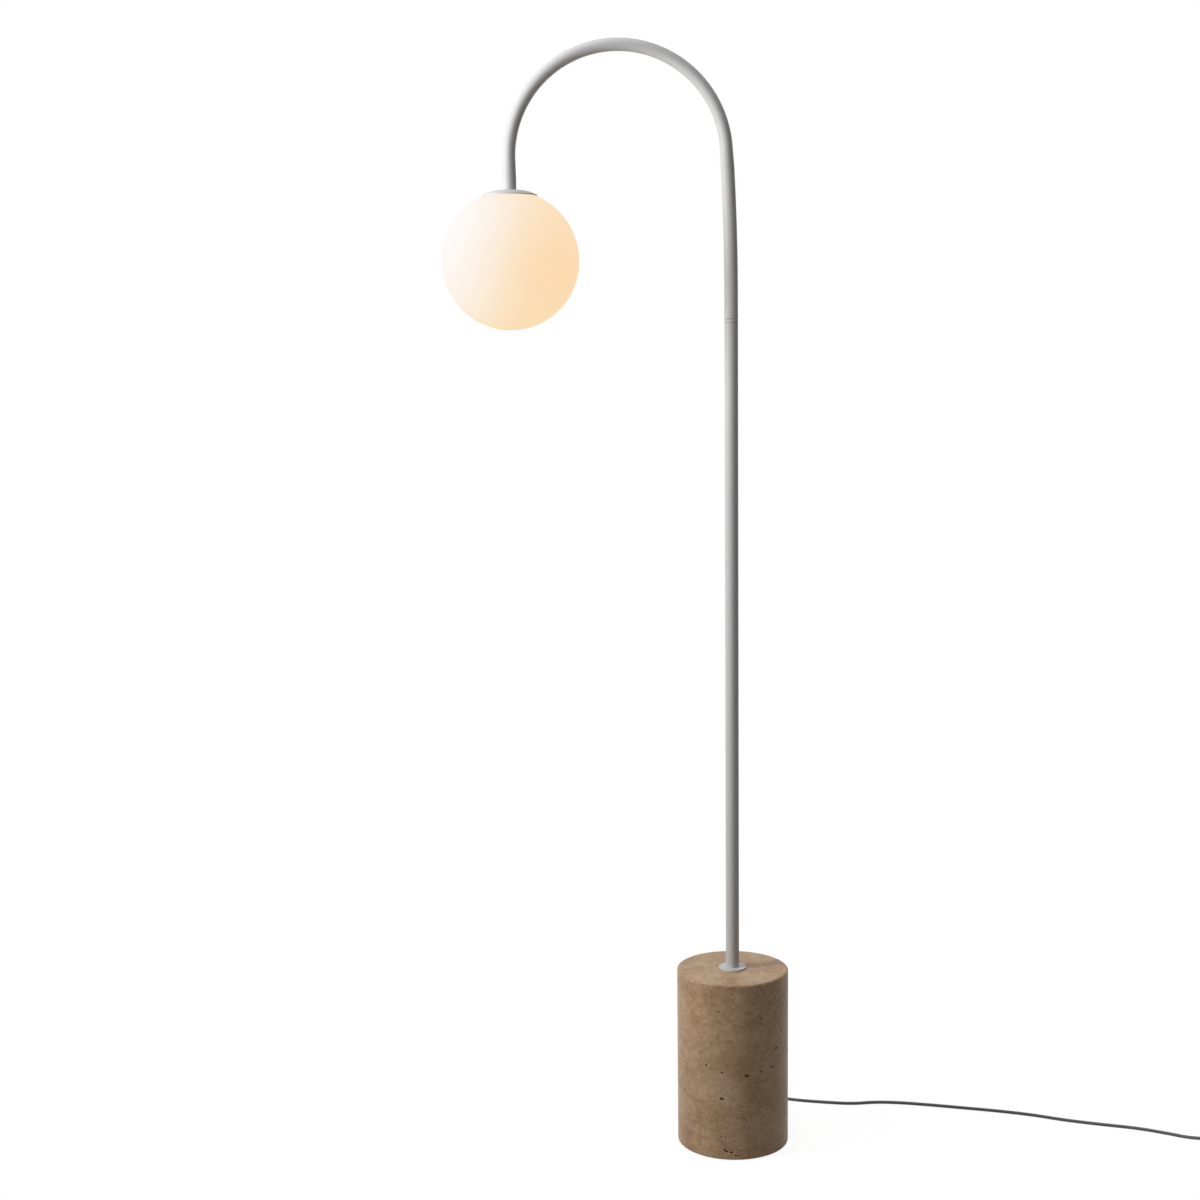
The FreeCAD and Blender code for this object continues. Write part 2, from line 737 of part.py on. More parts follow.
bulb_tip_centre = bulb_base_low - bulb_length + bulb_radius
bulb_inner_radius = bulb_radius - bulb_wall
save("bulb_glass", moved(turned(
    (0, bulb_base_low),
    (bulb_radius, bulb_base_low),
    (bulb_radius, bulb_tip_centre),
    arc_step(0, bulb_tip_centre, bulb_radius, 0, -90),
    (0, bulb_tip_centre - bulb_inner_radius),
    arc_step(0, bulb_tip_centre, bulb_inner_radius, -90, 0),
    (bulb_inner_radius, bulb_base_low - bulb_wall),
    (core_radius, bulb_base_low - bulb_wall),
    (0, bulb_base_low - bulb_wall),
), head_x, 0))
save("bulb_core", cylinder(core_radius, bulb_tip_centre - bulb_radius + core_margin + bulb_wall,
                           bulb_base_low - bulb_wall, head_x))

# --- Globe --------------------------------------------------------------------------------------------

globe_centre = cap_rim - glass_gap - math.sqrt(globe_radius ** 2 - rim_inner_radius ** 2)
neck_outer_radius = neck_radius + glass_wall
globe_inner_radius = globe_radius - glass_wall
lip_angle = math.degrees(math.acos(neck_outer_radius / globe_radius))
lip_z = globe_centre + globe_radius * math.sin(math.radians(lip_angle))
neck_bottom = lip_z - neck_depth
inner_angle = math.degrees(math.acos(neck_outer_radius / globe_inner_radius))
globe = turned(
    (0, globe_centre - globe_radius),
    arc_step(0, globe_centre, globe_radius, -90, lip_angle),
    (neck_radius + glass_lip_round, lip_z),
    arc_step(neck_radius + glass_lip_round, lip_z - glass_lip_round, glass_lip_round, 90, 180),
    (neck_radius, neck_bottom),
    (neck_outer_radius, neck_bottom),
    (neck_outer_radius, globe_centre + globe_inner_radius * math.sin(math.radians(inner_angle))),
    arc_step(0, globe_centre, globe_inner_radius, inner_angle, -90),
)
save("globe_glass", moved(globe, head_x, 0))

# --- Cable through the arm ----------------------------------------------------------------------------


def arc_about(centre, start, middle_angle, radius):
    """Middle point of an arc in the XZ plane, at an angle from +X about its centre."""
    return centre + vec(math.cos(middle_angle), 0, math.sin(middle_angle)) * radius


lean_centre = vec(-lean_radius, 0, straight_top)
leg_end = vec(head_x, 0, bend_height)
arm_cable_path = Part.Wire([
    Part.Arc(vec(0, 0, straight_top), arc_about(lean_centre, 0, lean / 2, lean_radius), lean_end).toShape(),
    Part.makeLine(lean_end, bend_start),
    Part.Arc(bend_start, arc_about(bend_centre, 0, (lean + math.pi) / 2, bend_radius), leg_end).toShape(),
    Part.makeLine(leg_end, vec(head_x, 0, holder_top)),
])
save("arm_cable", tube_along(arm_cable_path, cable_radius))

# --- Foot switch, in its own frame and then set on the floor ------------------------------------------


def place_switch(shape):
    return moved(shape, switch_place[0], switch_place[1], 0, switch_heading)


shell_low = switch_pad_thickness
shell_floor = shell_low + switch_wall
cover_inside = switch_top - switch_wall
inner_length = switch_length - 2 * switch_wall
inner_width = switch_width - 2 * switch_wall
inner_corner = switch_corner - switch_wall
screw_spots = [(-switch_screw_place[0], switch_screw_place[1]), (switch_screw_place[0], -switch_screw_place[1])]
boot_hole = Part.makeCylinder(boot_neck_radius, switch_length + 2, vec(-switch_length / 2 - 1, 0, switch_split),
                              ALONG_X)

save("switch_pad", place_switch(rounded_slab(
    switch_length - 2 * switch_pad_margin, switch_width - 2 * switch_pad_margin,
    switch_corner - switch_pad_margin, 0, switch_pad_thickness)))

lower = rounded_edges_at(rounded_slab(switch_length, switch_width, switch_corner, shell_low, switch_split),
                         shell_low, switch_edge_round / 2)
lower = lower.cut(rounded_slab(inner_length, inner_width, inner_corner, shell_floor, switch_split))
upper = rounded_edges_at(rounded_slab(switch_length, switch_width, switch_corner, switch_split, switch_top),
                         switch_top, switch_edge_round)
upper = upper.cut(rounded_slab(inner_length, inner_width, inner_corner, switch_split, cover_inside))
upper = upper.cut(cylinder(button_radius + button_clearance, switch_split, switch_top + 1))
switch_screws = []
head_low = shell_low + 0.2
head_high = head_low + switch_screw_head_height
screw_end = head_low + switch_screw_length
for x, y in screw_spots:
    hole = cylinder(switch_screw_radius + switch_screw_clearance, shell_low, switch_split, x, y)
    sink = cylinder(switch_screw_head_radius + switch_screw_clearance, shell_low, head_high, x, y)
    lower = lower.fuse(cylinder(switch_boss_radius, shell_floor, switch_split, x, y)).cut(hole).cut(sink)
    thread = cylinder(switch_screw_radius, switch_split, screw_end, x, y)
    upper = upper.fuse(cylinder(switch_boss_radius, switch_split, cover_inside, x, y)).cut(thread)
    switch_screws.append(cylinder(switch_screw_head_radius, head_low, head_high, x, y).fuse(
        cylinder(switch_screw_radius, head_high, screw_end, x, y)).removeSplitter())
save("switch_base", place_switch(lower.cut(boot_hole).removeSplitter()))
save("switch_cover", place_switch(upper.cut(boot_hole).removeSplitter()))
save("switch_screws", *[place_switch(s) for s in switch_screws])

boot = turned(
    (cord_radius, switch_length / 2 - switch_wall - boot_flange),
    (boot_flange_radius, switch_length / 2 - switch_wall - boot_flange),
    (boot_flange_radius, switch_length / 2 - switch_wall),
    (boot_neck_radius, switch_length / 2 - switch_wall),
    (boot_neck_radius, switch_length / 2),
    (boot_root_radius, switch_length / 2),
    (boot_tip_radius, switch_length / 2 + boot_length),
    (cord_radius, switch_length / 2 + boot_length),
)
boot.rotate(vec(0, 0, 0), ALONG_Y, 90)
tail = Part.makeCylinder(cord_radius, switch_length / 2 + boot_length - contacts_length / 2,
                         vec(contacts_length / 2, 0, 0), ALONG_X)
save("switch_boots", *[place_switch(moved(boot, 0, 0, switch_split, turn)) for turn in (0, 180)])
save("switch_tails", *[place_switch(moved(tail, 0, 0, switch_split, turn)) for turn in (0, 180)])
save("switch_contacts", place_switch(block(contacts_length, contacts_width, shell_floor, contacts_top)))

button_top = switch_top + button_stand
flange_top = cover_inside - button_clearance
flange_low = flange_top - button_flange_height
button_inside = button_top - button_wall
button_bore = button_radius - button_wall
button = turned(
    (0, button_top),
    (button_radius / 2, button_top - button_dome / 4, button_radius, button_top - button_dome),
    (button_radius, flange_top),
    (button_radius + button_flange, flange_top),
    (button_radius + button_flange, flange_low),
    (button_bore, flange_low),
    (button_bore, button_inside - button_dome),
    (0, button_inside - button_dome),
)
save("switch_button", place_switch(button))

spring_low = contacts_top + spring_wire
spring_high = button_inside - button_dome - spring_wire
coil_path = Part.makeHelix((spring_high - spring_low) / spring_turns, spring_high - spring_low, spring_radius)
spring_section = Part.Wire(Part.makeCircle(spring_wire, vec(spring_radius, 0, 0), ALONG_Y))
spring_shell = Part.BRepOffsetAPI.MakePipeShell(Part.Wire(coil_path.Edges))
spring_shell.setFrenetMode(True)
spring_shell.add(spring_section)
spring_shell.build()
spring_shell.makeSolid()
spring = spring_shell.shape()
spring.translate(vec(0, 0, spring_low))
save("switch_spring", place_switch(spring))

# --- Cord on the floor --------------------------------------------------------------------------------

cord_rest = cord_radius + floor_clearance
switch_direction = vec(math.cos(math.radians(switch_heading)), math.sin(math.radians(switch_heading)), 0)
switch_centre = vec(switch_place[0], switch_place[1], switch_split)
boot_reach = switch_length / 2 + boot_length
outlet = vec(0, relief_tip, cord_exit_height)
switch_in = switch_centre - switch_direction * boot_reach
switch_out = switch_centre + switch_direction * boot_reach

free_cord("mains_cord", [outlet, outlet + ALONG_Y * first_run]
          + [vec(*p) for p in mains_points]
          + [switch_in - switch_direction * first_run, switch_in])

# --- Put-away coil: half circles in to the middle, a climbing half turn, half circles out again --------

coil_x, coil_y = coil_place
low_layer = tie_thickness + floor_clearance + cord_radius
high_layer = low_layer + coil_step


def half_circle(x_start, side, radius, z):
    """Half a turn of the coil, from one side to the other, and the x where it ends."""
    x_end = x_start - side * 2 * radius
    points = [vec(x_start, 0, z), vec(x_start - side * radius, side * radius, z), vec(x_end, 0, z)]
    return Part.Arc(*points).toShape(), x_end


def climbing_half(x_start, side, radius, z_low, z_high):
    """Half a turn that climbs to the next layer, as two arcs that join smoothly."""
    start = vec(x_start, 0, z_low)
    end = vec(x_start - side * 2 * radius, 0, z_high)
    across = end - start
    half = across.Length / 2
    ahead = vec(0, side, 0)
    joint = (start + end) * 0.5 + ahead * half
    arcs = []
    for first, last, centre in ((start, joint, start + across * 0.5), (joint, end, start + across * 0.5)):
        outward = ((first - centre) + (last - centre)).normalize()
        arcs.append(Part.Arc(first, centre + outward * half, last).toShape())
    return arcs, end.x


edges = [Part.makeLine(vec(coil_outer_radius, -2 * cord_radius, low_layer), vec(coil_outer_radius, 0, low_layer))]
x_here, side = coil_outer_radius, 1
for k in range(coil_half_turns_in):
    arc, x_here = half_circle(x_here, side, coil_outer_radius - k * coil_step / 2, low_layer)
    edges.append(arc)
    side = -side
climb_radius = coil_outer_radius - coil_half_turns_in * coil_step / 2
arcs, x_here = climbing_half(x_here, side, climb_radius, low_layer, high_layer)
edges += arcs
side = -side
for k in range(coil_half_turns_out):
    arc, x_here = half_circle(x_here, side, climb_radius + (k + 1) * coil_step / 2, high_layer)
    edges.append(arc)
    side = -side
edges.append(Part.makeLine(vec(x_here, 0, high_layer), vec(x_here, 2 * cord_radius, high_layer)))
coil_wire = Part.Wire(edges)
coil = tube_along(coil_wire, cord_radius)
coil_exit_x = x_here


def least_self_gap(wire, radius, step):
    """Least gap between turns of a tube, measured between points along its line."""
    points = wire.discretize(Distance=step)
    skip = int(math.pi * climb_radius / step)
    least = min(p.distanceToPoint(q) for i, p in enumerate(points) for q in points[i + skip:])
    return least - 2 * radius


print("cord_coil length %.0f" % coil_wire.Length, "least gap %.2f" % least_self_gap(coil_wire, cord_radius, 2.0),
      "volume share %.4f" % (coil.Volume / (math.pi * cord_radius ** 2 * coil_wire.Length)))
save("cord_coil", moved(coil, coil_x, coil_y))

# Strap round the turns on the coil's far side
tie_x_low = -coil_outer_radius - cord_radius - tie_clearance
tie_x_high = -climb_radius - coil_step / 2 + cord_radius + 2 * tie_clearance
tie_top = high_layer + cord_radius + floor_clearance
tie_middle = (tie_x_low + tie_x_high) / 2
tie = block(tie_x_high - tie_x_low + 2 * tie_thickness, tie_width, 0, tie_top + tie_thickness, tie_middle)
tie = tie.cut(block(tie_x_high - tie_x_low, 2 * tie_width, tie_thickness, tie_top, tie_middle))
save("coil_tie", moved(tie, coil_x, coil_y))

coil_in = vec(coil_x + coil_outer_radius, coil_y - 2 * cord_radius, low_layer)
free_cord("coil_lead", [switch_out, switch_out + switch_direction * first_run]
          + [vec(*p) for p in coil_lead_points]
          + [coil_in - ALONG_Y * coil_lead_last_run, coil_in])

# --- Plug ---------------------------------------------------------------------------------------------

plug_direction = vec(math.cos(math.radians(plug_heading)), math.sin(math.radians(plug_heading)), 0)
coil_out = vec(coil_x + coil_exit_x, coil_y + 2 * cord_radius, high_layer)
plug_tip = vec(*plug_place, plug_axis_height)
free_cord("plug_lead", [coil_out, coil_out + ALONG_Y * plug_lead_first_run]
          + [vec(*p) for p in plug_lead_points]
          + [plug_tip - plug_direction * first_run, plug_tip])


def place_plug(shape):
    return moved(shape, plug_tip.x, plug_tip.y, plug_tip.z, plug_heading)


plug_relief = Part.makeCone(relief_tip_radius, plug_relief_root_radius, plug_relief_length,
                            vec(0, 0, 0), ALONG_X)
save("plug_relief", place_plug(plug_relief))

body_end = plug_relief_length + plug_body_length
body_outline = Part.makePolygon([
    vec(plug_relief_length, -plug_body_back_width / 2, -plug_body_thickness / 2),
    vec(body_end, -plug_body_front_width / 2, -plug_body_thickness / 2),
    vec(body_end, plug_body_front_width / 2, -plug_body_thickness / 2),
    vec(plug_relief_length, plug_body_back_width / 2, -plug_body_thickness / 2),
    vec(plug_relief_length, -plug_body_back_width / 2, -plug_body_thickness / 2),
])
plug_body = Part.Face(body_outline).extrude(vec(0, 0, plug_body_thickness))
long_edges = [e for e in plug_body.Edges if abs(e.tangentAt(e.FirstParameter).z) < 0.5
              and e.Length > plug_body_length - 1 and e.BoundBox.XLength > plug_body_length - 1]
plug_body = plug_body.makeFillet(plug_edge_round, long_edges)
pins = []
for y in (-plug_pin_spacing / 2, plug_pin_spacing / 2):
    pin = Part.makeCylinder(plug_pin_radius, plug_pin_length, vec(body_end, y, 0), ALONG_X)
    tip_edge = [e for e in pin.Edges if abs(e.BoundBox.XMin - body_end - plug_pin_length) < 1e-4]
    pins.append(pin.makeFillet(plug_pin_radius / 3, tip_edge))
save("plug_body", place_plug(plug_body))
save("plug_pins", *[place_plug(pin) for pin in pins])

print("head x %.2f" % head_x, "cap top %.1f" % cap_top, "globe centre %.2f" % globe_centre,
      "top %.1f" % (bend_height + bend_radius + pole_radius - bend_flattening),
      "bulb low %.1f" % (bulb_tip_centre - bulb_radius), "holder top %.1f" % holder_top,
      "skirt low %.1f" % skirt_low, "neck bottom %.1f" % neck_bottom)
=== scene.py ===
import bpy, bmesh, math
from mathutils import Matrix, Vector


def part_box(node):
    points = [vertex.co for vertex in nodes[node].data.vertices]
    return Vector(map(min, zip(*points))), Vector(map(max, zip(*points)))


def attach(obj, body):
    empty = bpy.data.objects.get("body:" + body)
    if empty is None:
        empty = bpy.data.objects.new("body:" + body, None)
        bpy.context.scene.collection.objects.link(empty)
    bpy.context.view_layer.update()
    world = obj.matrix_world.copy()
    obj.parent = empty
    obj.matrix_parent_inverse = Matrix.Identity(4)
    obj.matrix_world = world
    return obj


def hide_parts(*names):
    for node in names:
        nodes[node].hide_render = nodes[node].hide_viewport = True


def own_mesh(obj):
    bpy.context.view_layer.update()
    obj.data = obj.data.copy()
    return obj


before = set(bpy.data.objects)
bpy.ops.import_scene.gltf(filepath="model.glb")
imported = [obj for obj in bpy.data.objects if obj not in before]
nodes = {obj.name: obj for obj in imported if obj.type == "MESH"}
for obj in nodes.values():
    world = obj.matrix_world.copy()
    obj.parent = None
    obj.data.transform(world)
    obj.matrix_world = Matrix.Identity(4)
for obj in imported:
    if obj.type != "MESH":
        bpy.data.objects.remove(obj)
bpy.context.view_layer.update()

# --- Camera -------------------------------------------------------------------------------------------
# The lamp is seen from its front at 1.17 m above the floor, from 2.7 m away, a little left of the pole.
# The camera looks slightly down and is turned a touch about its own axis.
camera_place = (-0.1962, -2.7219, 1.1706)
camera_pitch = 0.1213
camera_roll = -0.0108


def added(name, data):
    """Puts a new object in the scene."""
    made = bpy.data.objects.new(name, data)
    bpy.context.scene.collection.objects.link(made)
    return made


camera = added("camera", bpy.data.cameras.new("camera"))
camera.data.sensor_width = 36.0
camera.data.lens = 55.245
camera.matrix_world = (Matrix.Translation(camera_place)
                       @ Matrix.Rotation(math.pi / 2 - camera_pitch, 4, "X")
                       @ Matrix.Rotation(camera_roll, 4, "Z"))
bpy.context.scene.camera = camera
bpy.context.scene.view_settings.view_transform = "Standard"

# --- Mains cord ---------------------------------------------------------------------------------------
# Round flexible cord, 5 mm thick, with a smooth dark grey sheath. It leaves the back of the stone, lies
# over the floor in loose bends and ends in the foot switch.
# The lengths of pieces are given in millimetres here and below; the scene takes them in metres
cord_radius = 2.5
mains_route = [
    (0, 106.5, 12), (0, 126.5, 12), (11, 148, 6), (38, 161, 2.6), (75, 154, 2.6), (117, 138.6, 2.6),
    (161, 129, 2.6), (202, 122.3, 2.6), (240, 128.6, 2.6), (281, 124.3, 2.6), (326, 113.8, 2.6),
    (375, 101, 2.6), (430, 86.3, 2.6), (478, 70.3, 2.6), (525, 47.5, 2.6), (575, 30.2, 2.6),
    (628, 14.3, 2.6), (668, -6.2, 2.6), (697, -26, 3.2), (726.88, -46.55, 10), (743.84, -57.15, 10),
]


def laid_cord(name, route):
    """A cord whose smooth line follows the route's points, given in millimetres."""
    curve = bpy.data.curves.new(name, "CURVE")
    curve.dimensions = "3D"
    curve.bevel_depth = 1.0
    curve.bevel_resolution = 7
    curve.use_fill_caps = True
    spline = curve.splines.new("NURBS")
    spline.points.add(len(route) - 1)
    for point, place in zip(spline.points, route):
        point.co = (*(Vector(place) / 1000), 1)
        point.radius = cord_radius / 1000
    spline.order_u = 3
    spline.use_endpoint_u = True
    spline.resolution_u = 10
    return added(name, curve)


mains_flex = laid_cord("mains_flex", mains_route)
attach(mains_flex, "base")
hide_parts("mains_cord")

# --- Put-away cord ------------------------------------------------------------------------------------
# The rest of the same cord, from the foot switch to the plug. It is wound up as a flat round coil of two
# layers: half turns step inwards on the floor, climb once, and step out again on top.
coil_place = Vector((856, -40, 0))
coil_outer_radius = 38.5
coil_step = 5.6
coil_low = 3.3
coil_high = coil_low + coil_step
lower_half_turns, upper_half_turns = 7, 6
coil_points_per_half_turn = 8
plug_place = (862.4, 78.1, 7.2)


def half_turn(x_start, side, radius, low, high):
    """Points round half a turn of the coil, and the x where it ends."""
    middle = x_start - side * radius
    reach = radius / math.cos(math.pi / coil_points_per_half_turn / 2)
    points = []
    for k in range(coil_points_per_half_turn):
        a = math.pi * (k + 0.5) / coil_points_per_half_turn
        points.append(coil_place + Vector((middle + side * reach * math.cos(a), side * reach * math.sin(a),
                                           low + (high - low) * (1 - math.cos(a)) / 2)))
    return points, middle - side * radius


storage_route = [(820.16, -104.85, 10), (837.12, -115.44, 10), (862, -118.5, 4.5), (884, -104, 3.3),
                 (894.5, -72, coil_low), (894.5, -45, coil_low)]
climb_radius = coil_outer_radius - lower_half_turns * coil_step / 2
half_turns = [(coil_outer_radius - k * coil_step / 2, coil_low, coil_low) for k in range(lower_half_turns)]
half_turns += [(climb_radius, coil_low, coil_high)]
half_turns += [(climb_radius + (k + 1) * coil_step / 2, coil_high, coil_high)
               for k in range(upper_half_turns)]
x_here, side = coil_outer_radius, 1
for radius, low, high in half_turns:
    points, x_here = half_turn(x_here, side, radius, low, high)
    storage_route += points
    side = -side
coil_end = coil_place + Vector((x_here, 5, coil_high))
storage_route += [coil_end, coil_end + Vector((0, 26, 0)), (886, 16, 5.6), (880, 41, 5.2),
                  (871.01, 60.05, 7.2), plug_place]
stored_flex = laid_cord("stored_flex", storage_route)
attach(stored_flex, "base")
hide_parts("coil_lead", "cord_coil", "plug_lead")


# Both stretches share one smooth sheath, slightly uneven in tint and sheen.
def feed(tree, node, inputs):
    """Fills a shader node's inputs, each with a value or from the socket that feeds it."""
    for name, value in inputs.items():
        if isinstance(value, bpy.types.NodeSocket):
            tree.links.new(value, node.inputs[name])
        else:
            node.inputs[name].default_value = value


def put(tree, kind, inputs=None, **settings):
    """Adds a shader node with its settings and inputs."""
    made = tree.nodes.new(kind)
    for name, value in settings.items():
        setattr(made, name, value)
    feed(tree, made, inputs or {})
    return made


def mixed(tree, share, first, second):
    """The colour between two colours."""
    return put(tree, "ShaderNodeMix", {0: share, 6: first, 7: second}, data_type="RGBA").outputs[2]


def reckoned(tree, operation, *values, clamp=False):
    """The result of one sum on shader values."""
    terms = dict(enumerate(values))
    return put(tree, "ShaderNodeMath", terms, operation=operation, use_clamp=clamp).outputs[0]


def swung(tree, pattern, gain, base, middle=0.5, clamp=False):
    """A base value that swings up and down as a pattern leaves its own middle."""
    centred = reckoned(tree, "ADD", pattern, -middle)
    return reckoned(tree, "MULTIPLY_ADD", centred, gain, base, clamp=clamp)


def placed(tree):
    """Place on the surface, in metres, in the lamp's own frame."""
    return put(tree, "ShaderNodeTexCoord").outputs["Object"]


def relief(tree, height, strength, depth):
    """The way the surface faces once a small relief has been laid over it."""
    bump = put(tree, "ShaderNodeBump", {"Height": height, "Strength": strength, "Distance": depth})
    return bump.outputs["Normal"]


def blank_material(name):
    """A new material with its Principled shader, ready to be wired up."""
    material = bpy.data.materials.new(name)
    material.use_nodes = True
    tree = material.node_tree
    return material, tree, tree.nodes["Principled BSDF"]


def effect(name, inputs, outputs):
    """A new shader node group with named inputs (with their start values) and outputs."""
    group = bpy.data.node_groups.new(name, "ShaderNodeTree")
    for label, (kind, value) in inputs.items():
        group.interface.new_socket(label, in_out="INPUT", socket_type=kind).default_value = value
    for label, kind in outputs.items():
        group.interface.new_socket(label, in_out="OUTPUT", socket_type=kind)
    return group, group.nodes.new("NodeGroupInput").outputs, group.nodes.new("NodeGroupOutput").inputs


def use(tree, group, inputs):
    """Places an effect in a material with its own values."""
    return put(tree, "ShaderNodeGroup", inputs, node_tree=group).outputs


def dress(material, *names):
    """Gives a material to CAD nodes by name."""
    for name in names:
        mesh = nodes[name].data
        mesh.materials.clear()
        mesh.materials.append(material)


# Uneven tint: a colour that drifts between itself and a second one in soft clouds of a given size.
uneven_tint, given, out = effect(
    "uneven_tint",
    {"Colour": ("NodeSocketColor", (0.5, 0.5, 0.5, 1)),
     "Other Colour": ("NodeSocketColor", (0.4, 0.4, 0.4, 1)),
     "Cloud Scale": ("NodeSocketFloat", 30.0), "Contrast": ("NodeSocketFloat", 1.6)},
    {"Colour": "NodeSocketColor"})
clouds = put(uneven_tint, "ShaderNodeTexNoise", {
    "Vector": placed(uneven_tint), "Scale": given["Cloud Scale"], "Detail": 5.0, "Roughness": 0.6})
cloud_share = swung(uneven_tint, clouds.outputs["Fac"], given["Contrast"], 0.5, clamp=True)
clouded = mixed(uneven_tint, cloud_share, given["Colour"], given["Other Colour"])
uneven_tint.links.new(clouded, out["Colour"])

# Fine grain: the small height and sheen changes of a moulded, coated or cast surface.
fine_grain, given, out = effect(
    "fine_grain",
    {"Grain Scale": ("NodeSocketFloat", 2000.0), "Roughness": ("NodeSocketFloat", 0.5),
     "Roughness Spread": ("NodeSocketFloat", 0.1)},
    {"Height": "NodeSocketFloat", "Roughness": "NodeSocketFloat"})
grain = put(fine_grain, "ShaderNodeTexNoise", {
    "Vector": placed(fine_grain), "Scale": given["Grain Scale"], "Detail": 2.0, "Roughness": 0.5})
patches = put(fine_grain, "ShaderNodeTexNoise", {
    "Vector": placed(fine_grain), "Scale": 60.0, "Detail": 3.0, "Roughness": 0.6})
uneven_sheen = swung(fine_grain, patches.outputs["Fac"], given["Roughness Spread"], given["Roughness"])
fine_grain.links.new(grain.outputs["Fac"], out["Height"])
fine_grain.links.new(uneven_sheen, out["Roughness"])


def coated(name, colour, other_colour, roughness, spread=0.1, grain_scale=2000.0, bump=0.1,
           cloud_scale=30.0, specular=0.5):
    """A material of one colour with soft tint clouds, fine grain and a small bump."""
    material, tree, shader = blank_material(name)
    tint = use(tree, uneven_tint, {"Colour": (*colour, 1), "Other Colour": (*other_colour, 1),
                                   "Cloud Scale": cloud_scale})
    grain = use(tree, fine_grain, {"Grain Scale": grain_scale, "Roughness": roughness,
                                   "Roughness Spread": spread})
    feed(tree, shader, {"Base Color": tint["Colour"], "Roughness": grain["Roughness"],
                        "Specular IOR Level": specular,
                        "Normal": relief(tree, grain["Height"], bump, 0.0002)})
    return material


cord_sheath = coated("cord_sheath", (0.11, 0.106, 0.1), (0.084, 0.081, 0.076), 0.5,
                     spread=0.15, grain_scale=1500.0, bump=0.15, cloud_scale=45.0)
for cord in (mains_flex, stored_flex):
    cord.data.materials.append(cord_sheath)
dress(cord_sheath, "base_cable", "switch_tails")

# --- Coil tie -----------------------------------------------------------------------------------------
# Hook-and-loop strap round the coil's turns, 10 mm wide. It is wrapped once, and its end is pressed flat
# on top of itself.
strap_thickness = 0.7
strap_width = 10.0
strap_left, strap_right = -41.4, -18.4
strap_inside_top = 11.5
strap_bend = 2.2
strap_overlap = 14.0
strap_edge = 0.2
strap_corner_steps = 6


def strap_line():
    """Middle line of the strap in its own plane: once round the turns and then on over its own start."""
    half = strap_thickness / 2
    left, right = strap_left - half, strap_right + half
    bottom, top = half, strap_inside_top + half
    start = (left + right) / 2 + strap_overlap / 2
    line = [(start, top), (left + strap_bend, top)]
    for x, z, first in ((left, top, 90), (left, bottom, 180), (right, bottom, 270), (right, top, 0)):
        cx = x + strap_bend if x == left else x - strap_bend
        cz = z - strap_bend if z == top else z + strap_bend
        for k in range(strap_corner_steps + 1):
            a = math.radians(first + 90 * k / strap_corner_steps)
            line.append((cx + strap_bend * math.cos(a), cz + strap_bend * math.sin(a)))
    lift = strap_thickness * 1.05
    line += [(start + 2.0, top), (start + 0.6, top + lift * 0.85), (start - 1.0, top + lift)]
    line += [(start - strap_overlap * k / 4, top + lift) for k in (1, 2, 3, 4)]
    return line


strap_mesh = bpy.data.meshes.new("coil_strap")
bm = bmesh.new()
rows = []
for x, z in strap_line():
    rows.append([bm.verts.new((coil_place + Vector((x, y, z))) / 1000)
                 for y in (-strap_width / 2, -strap_width / 4, 0, strap_width / 4, strap_width / 2)])
for first, second in zip(rows, rows[1:]):
    for k in range(4):
        bm.faces.new((first[k], first[k + 1], second[k + 1], second[k]))
bm.to_mesh(strap_mesh)
bm.free()
coil_strap = added("coil_strap", strap_mesh)
thicken = coil_strap.modifiers.new("thickness", "SOLIDIFY")
thicken.thickness = strap_thickness / 1000
thicken.offset = 0
soften = coil_strap.modifiers.new("soft_edges", "BEVEL")
soften.width = strap_edge / 1000
soften.segments = 2
soften.limit_method = "ANGLE"
soften.angle_limit = math.radians(50)
strap_mesh.shade_smooth()


def stretched(tree, *factors):
    """The place with its axes scaled, which draws a pattern out or presses it flat."""
    return put(tree, "ShaderNodeVectorMath", {0: placed(tree), 1: factors}, operation="MULTIPLY").outputs[0]


# Fibres: short crossing hairs of felt, pile and hook-and-loop cloth, as a height and a shade.
fibres, given, out = effect(
    "fibres",
    {"Fibre Scale": ("NodeSocketFloat", 900.0), "Contrast": ("NodeSocketFloat", 5.0)},
    {"Height": "NodeSocketFloat", "Shade": "NodeSocketFloat"})
hairs = []
for way in (stretched(fibres, 1.0, 0.2, 1.0), stretched(fibres, 0.2, 1.0, 1.0)):
    hairs.append(put(fibres, "ShaderNodeTexNoise", {
        "Vector": way, "Scale": given["Fibre Scale"], "Detail": 3.0, "Distortion": 1.2}).outputs["Fac"])
pile = reckoned(fibres, "MAXIMUM", *hairs)
shade = swung(fibres, pile, given["Contrast"], 0.5, middle=0.55, clamp=True)
fibres.links.new(pile, out["Height"])
fibres.links.new(shade, out["Shade"])


def cloth_of(name, dark, light, scale, bump, sheen):
    """A matt fibrous material such as felt or pile tape."""
    material, tree, shader = blank_material(name)
    hair = use(tree, fibres, {"Fibre Scale": scale})
    feed(tree, shader, {"Base Color": mixed(tree, hair["Shade"], (*dark, 1), (*light, 1)),
                        "Roughness": 0.92, "Sheen Weight": sheen, "Specular IOR Level": 0.2,
                        "Normal": relief(tree, hair["Height"], bump, 0.0004)})
    return material


strap_pile = cloth_of("strap_pile", (0.03, 0.03, 0.032), (0.075, 0.075, 0.078), 1400.0, 0.6, 0.2)
strap_mesh.materials.append(strap_pile)
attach(coil_strap, "base")
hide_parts("coil_tie")

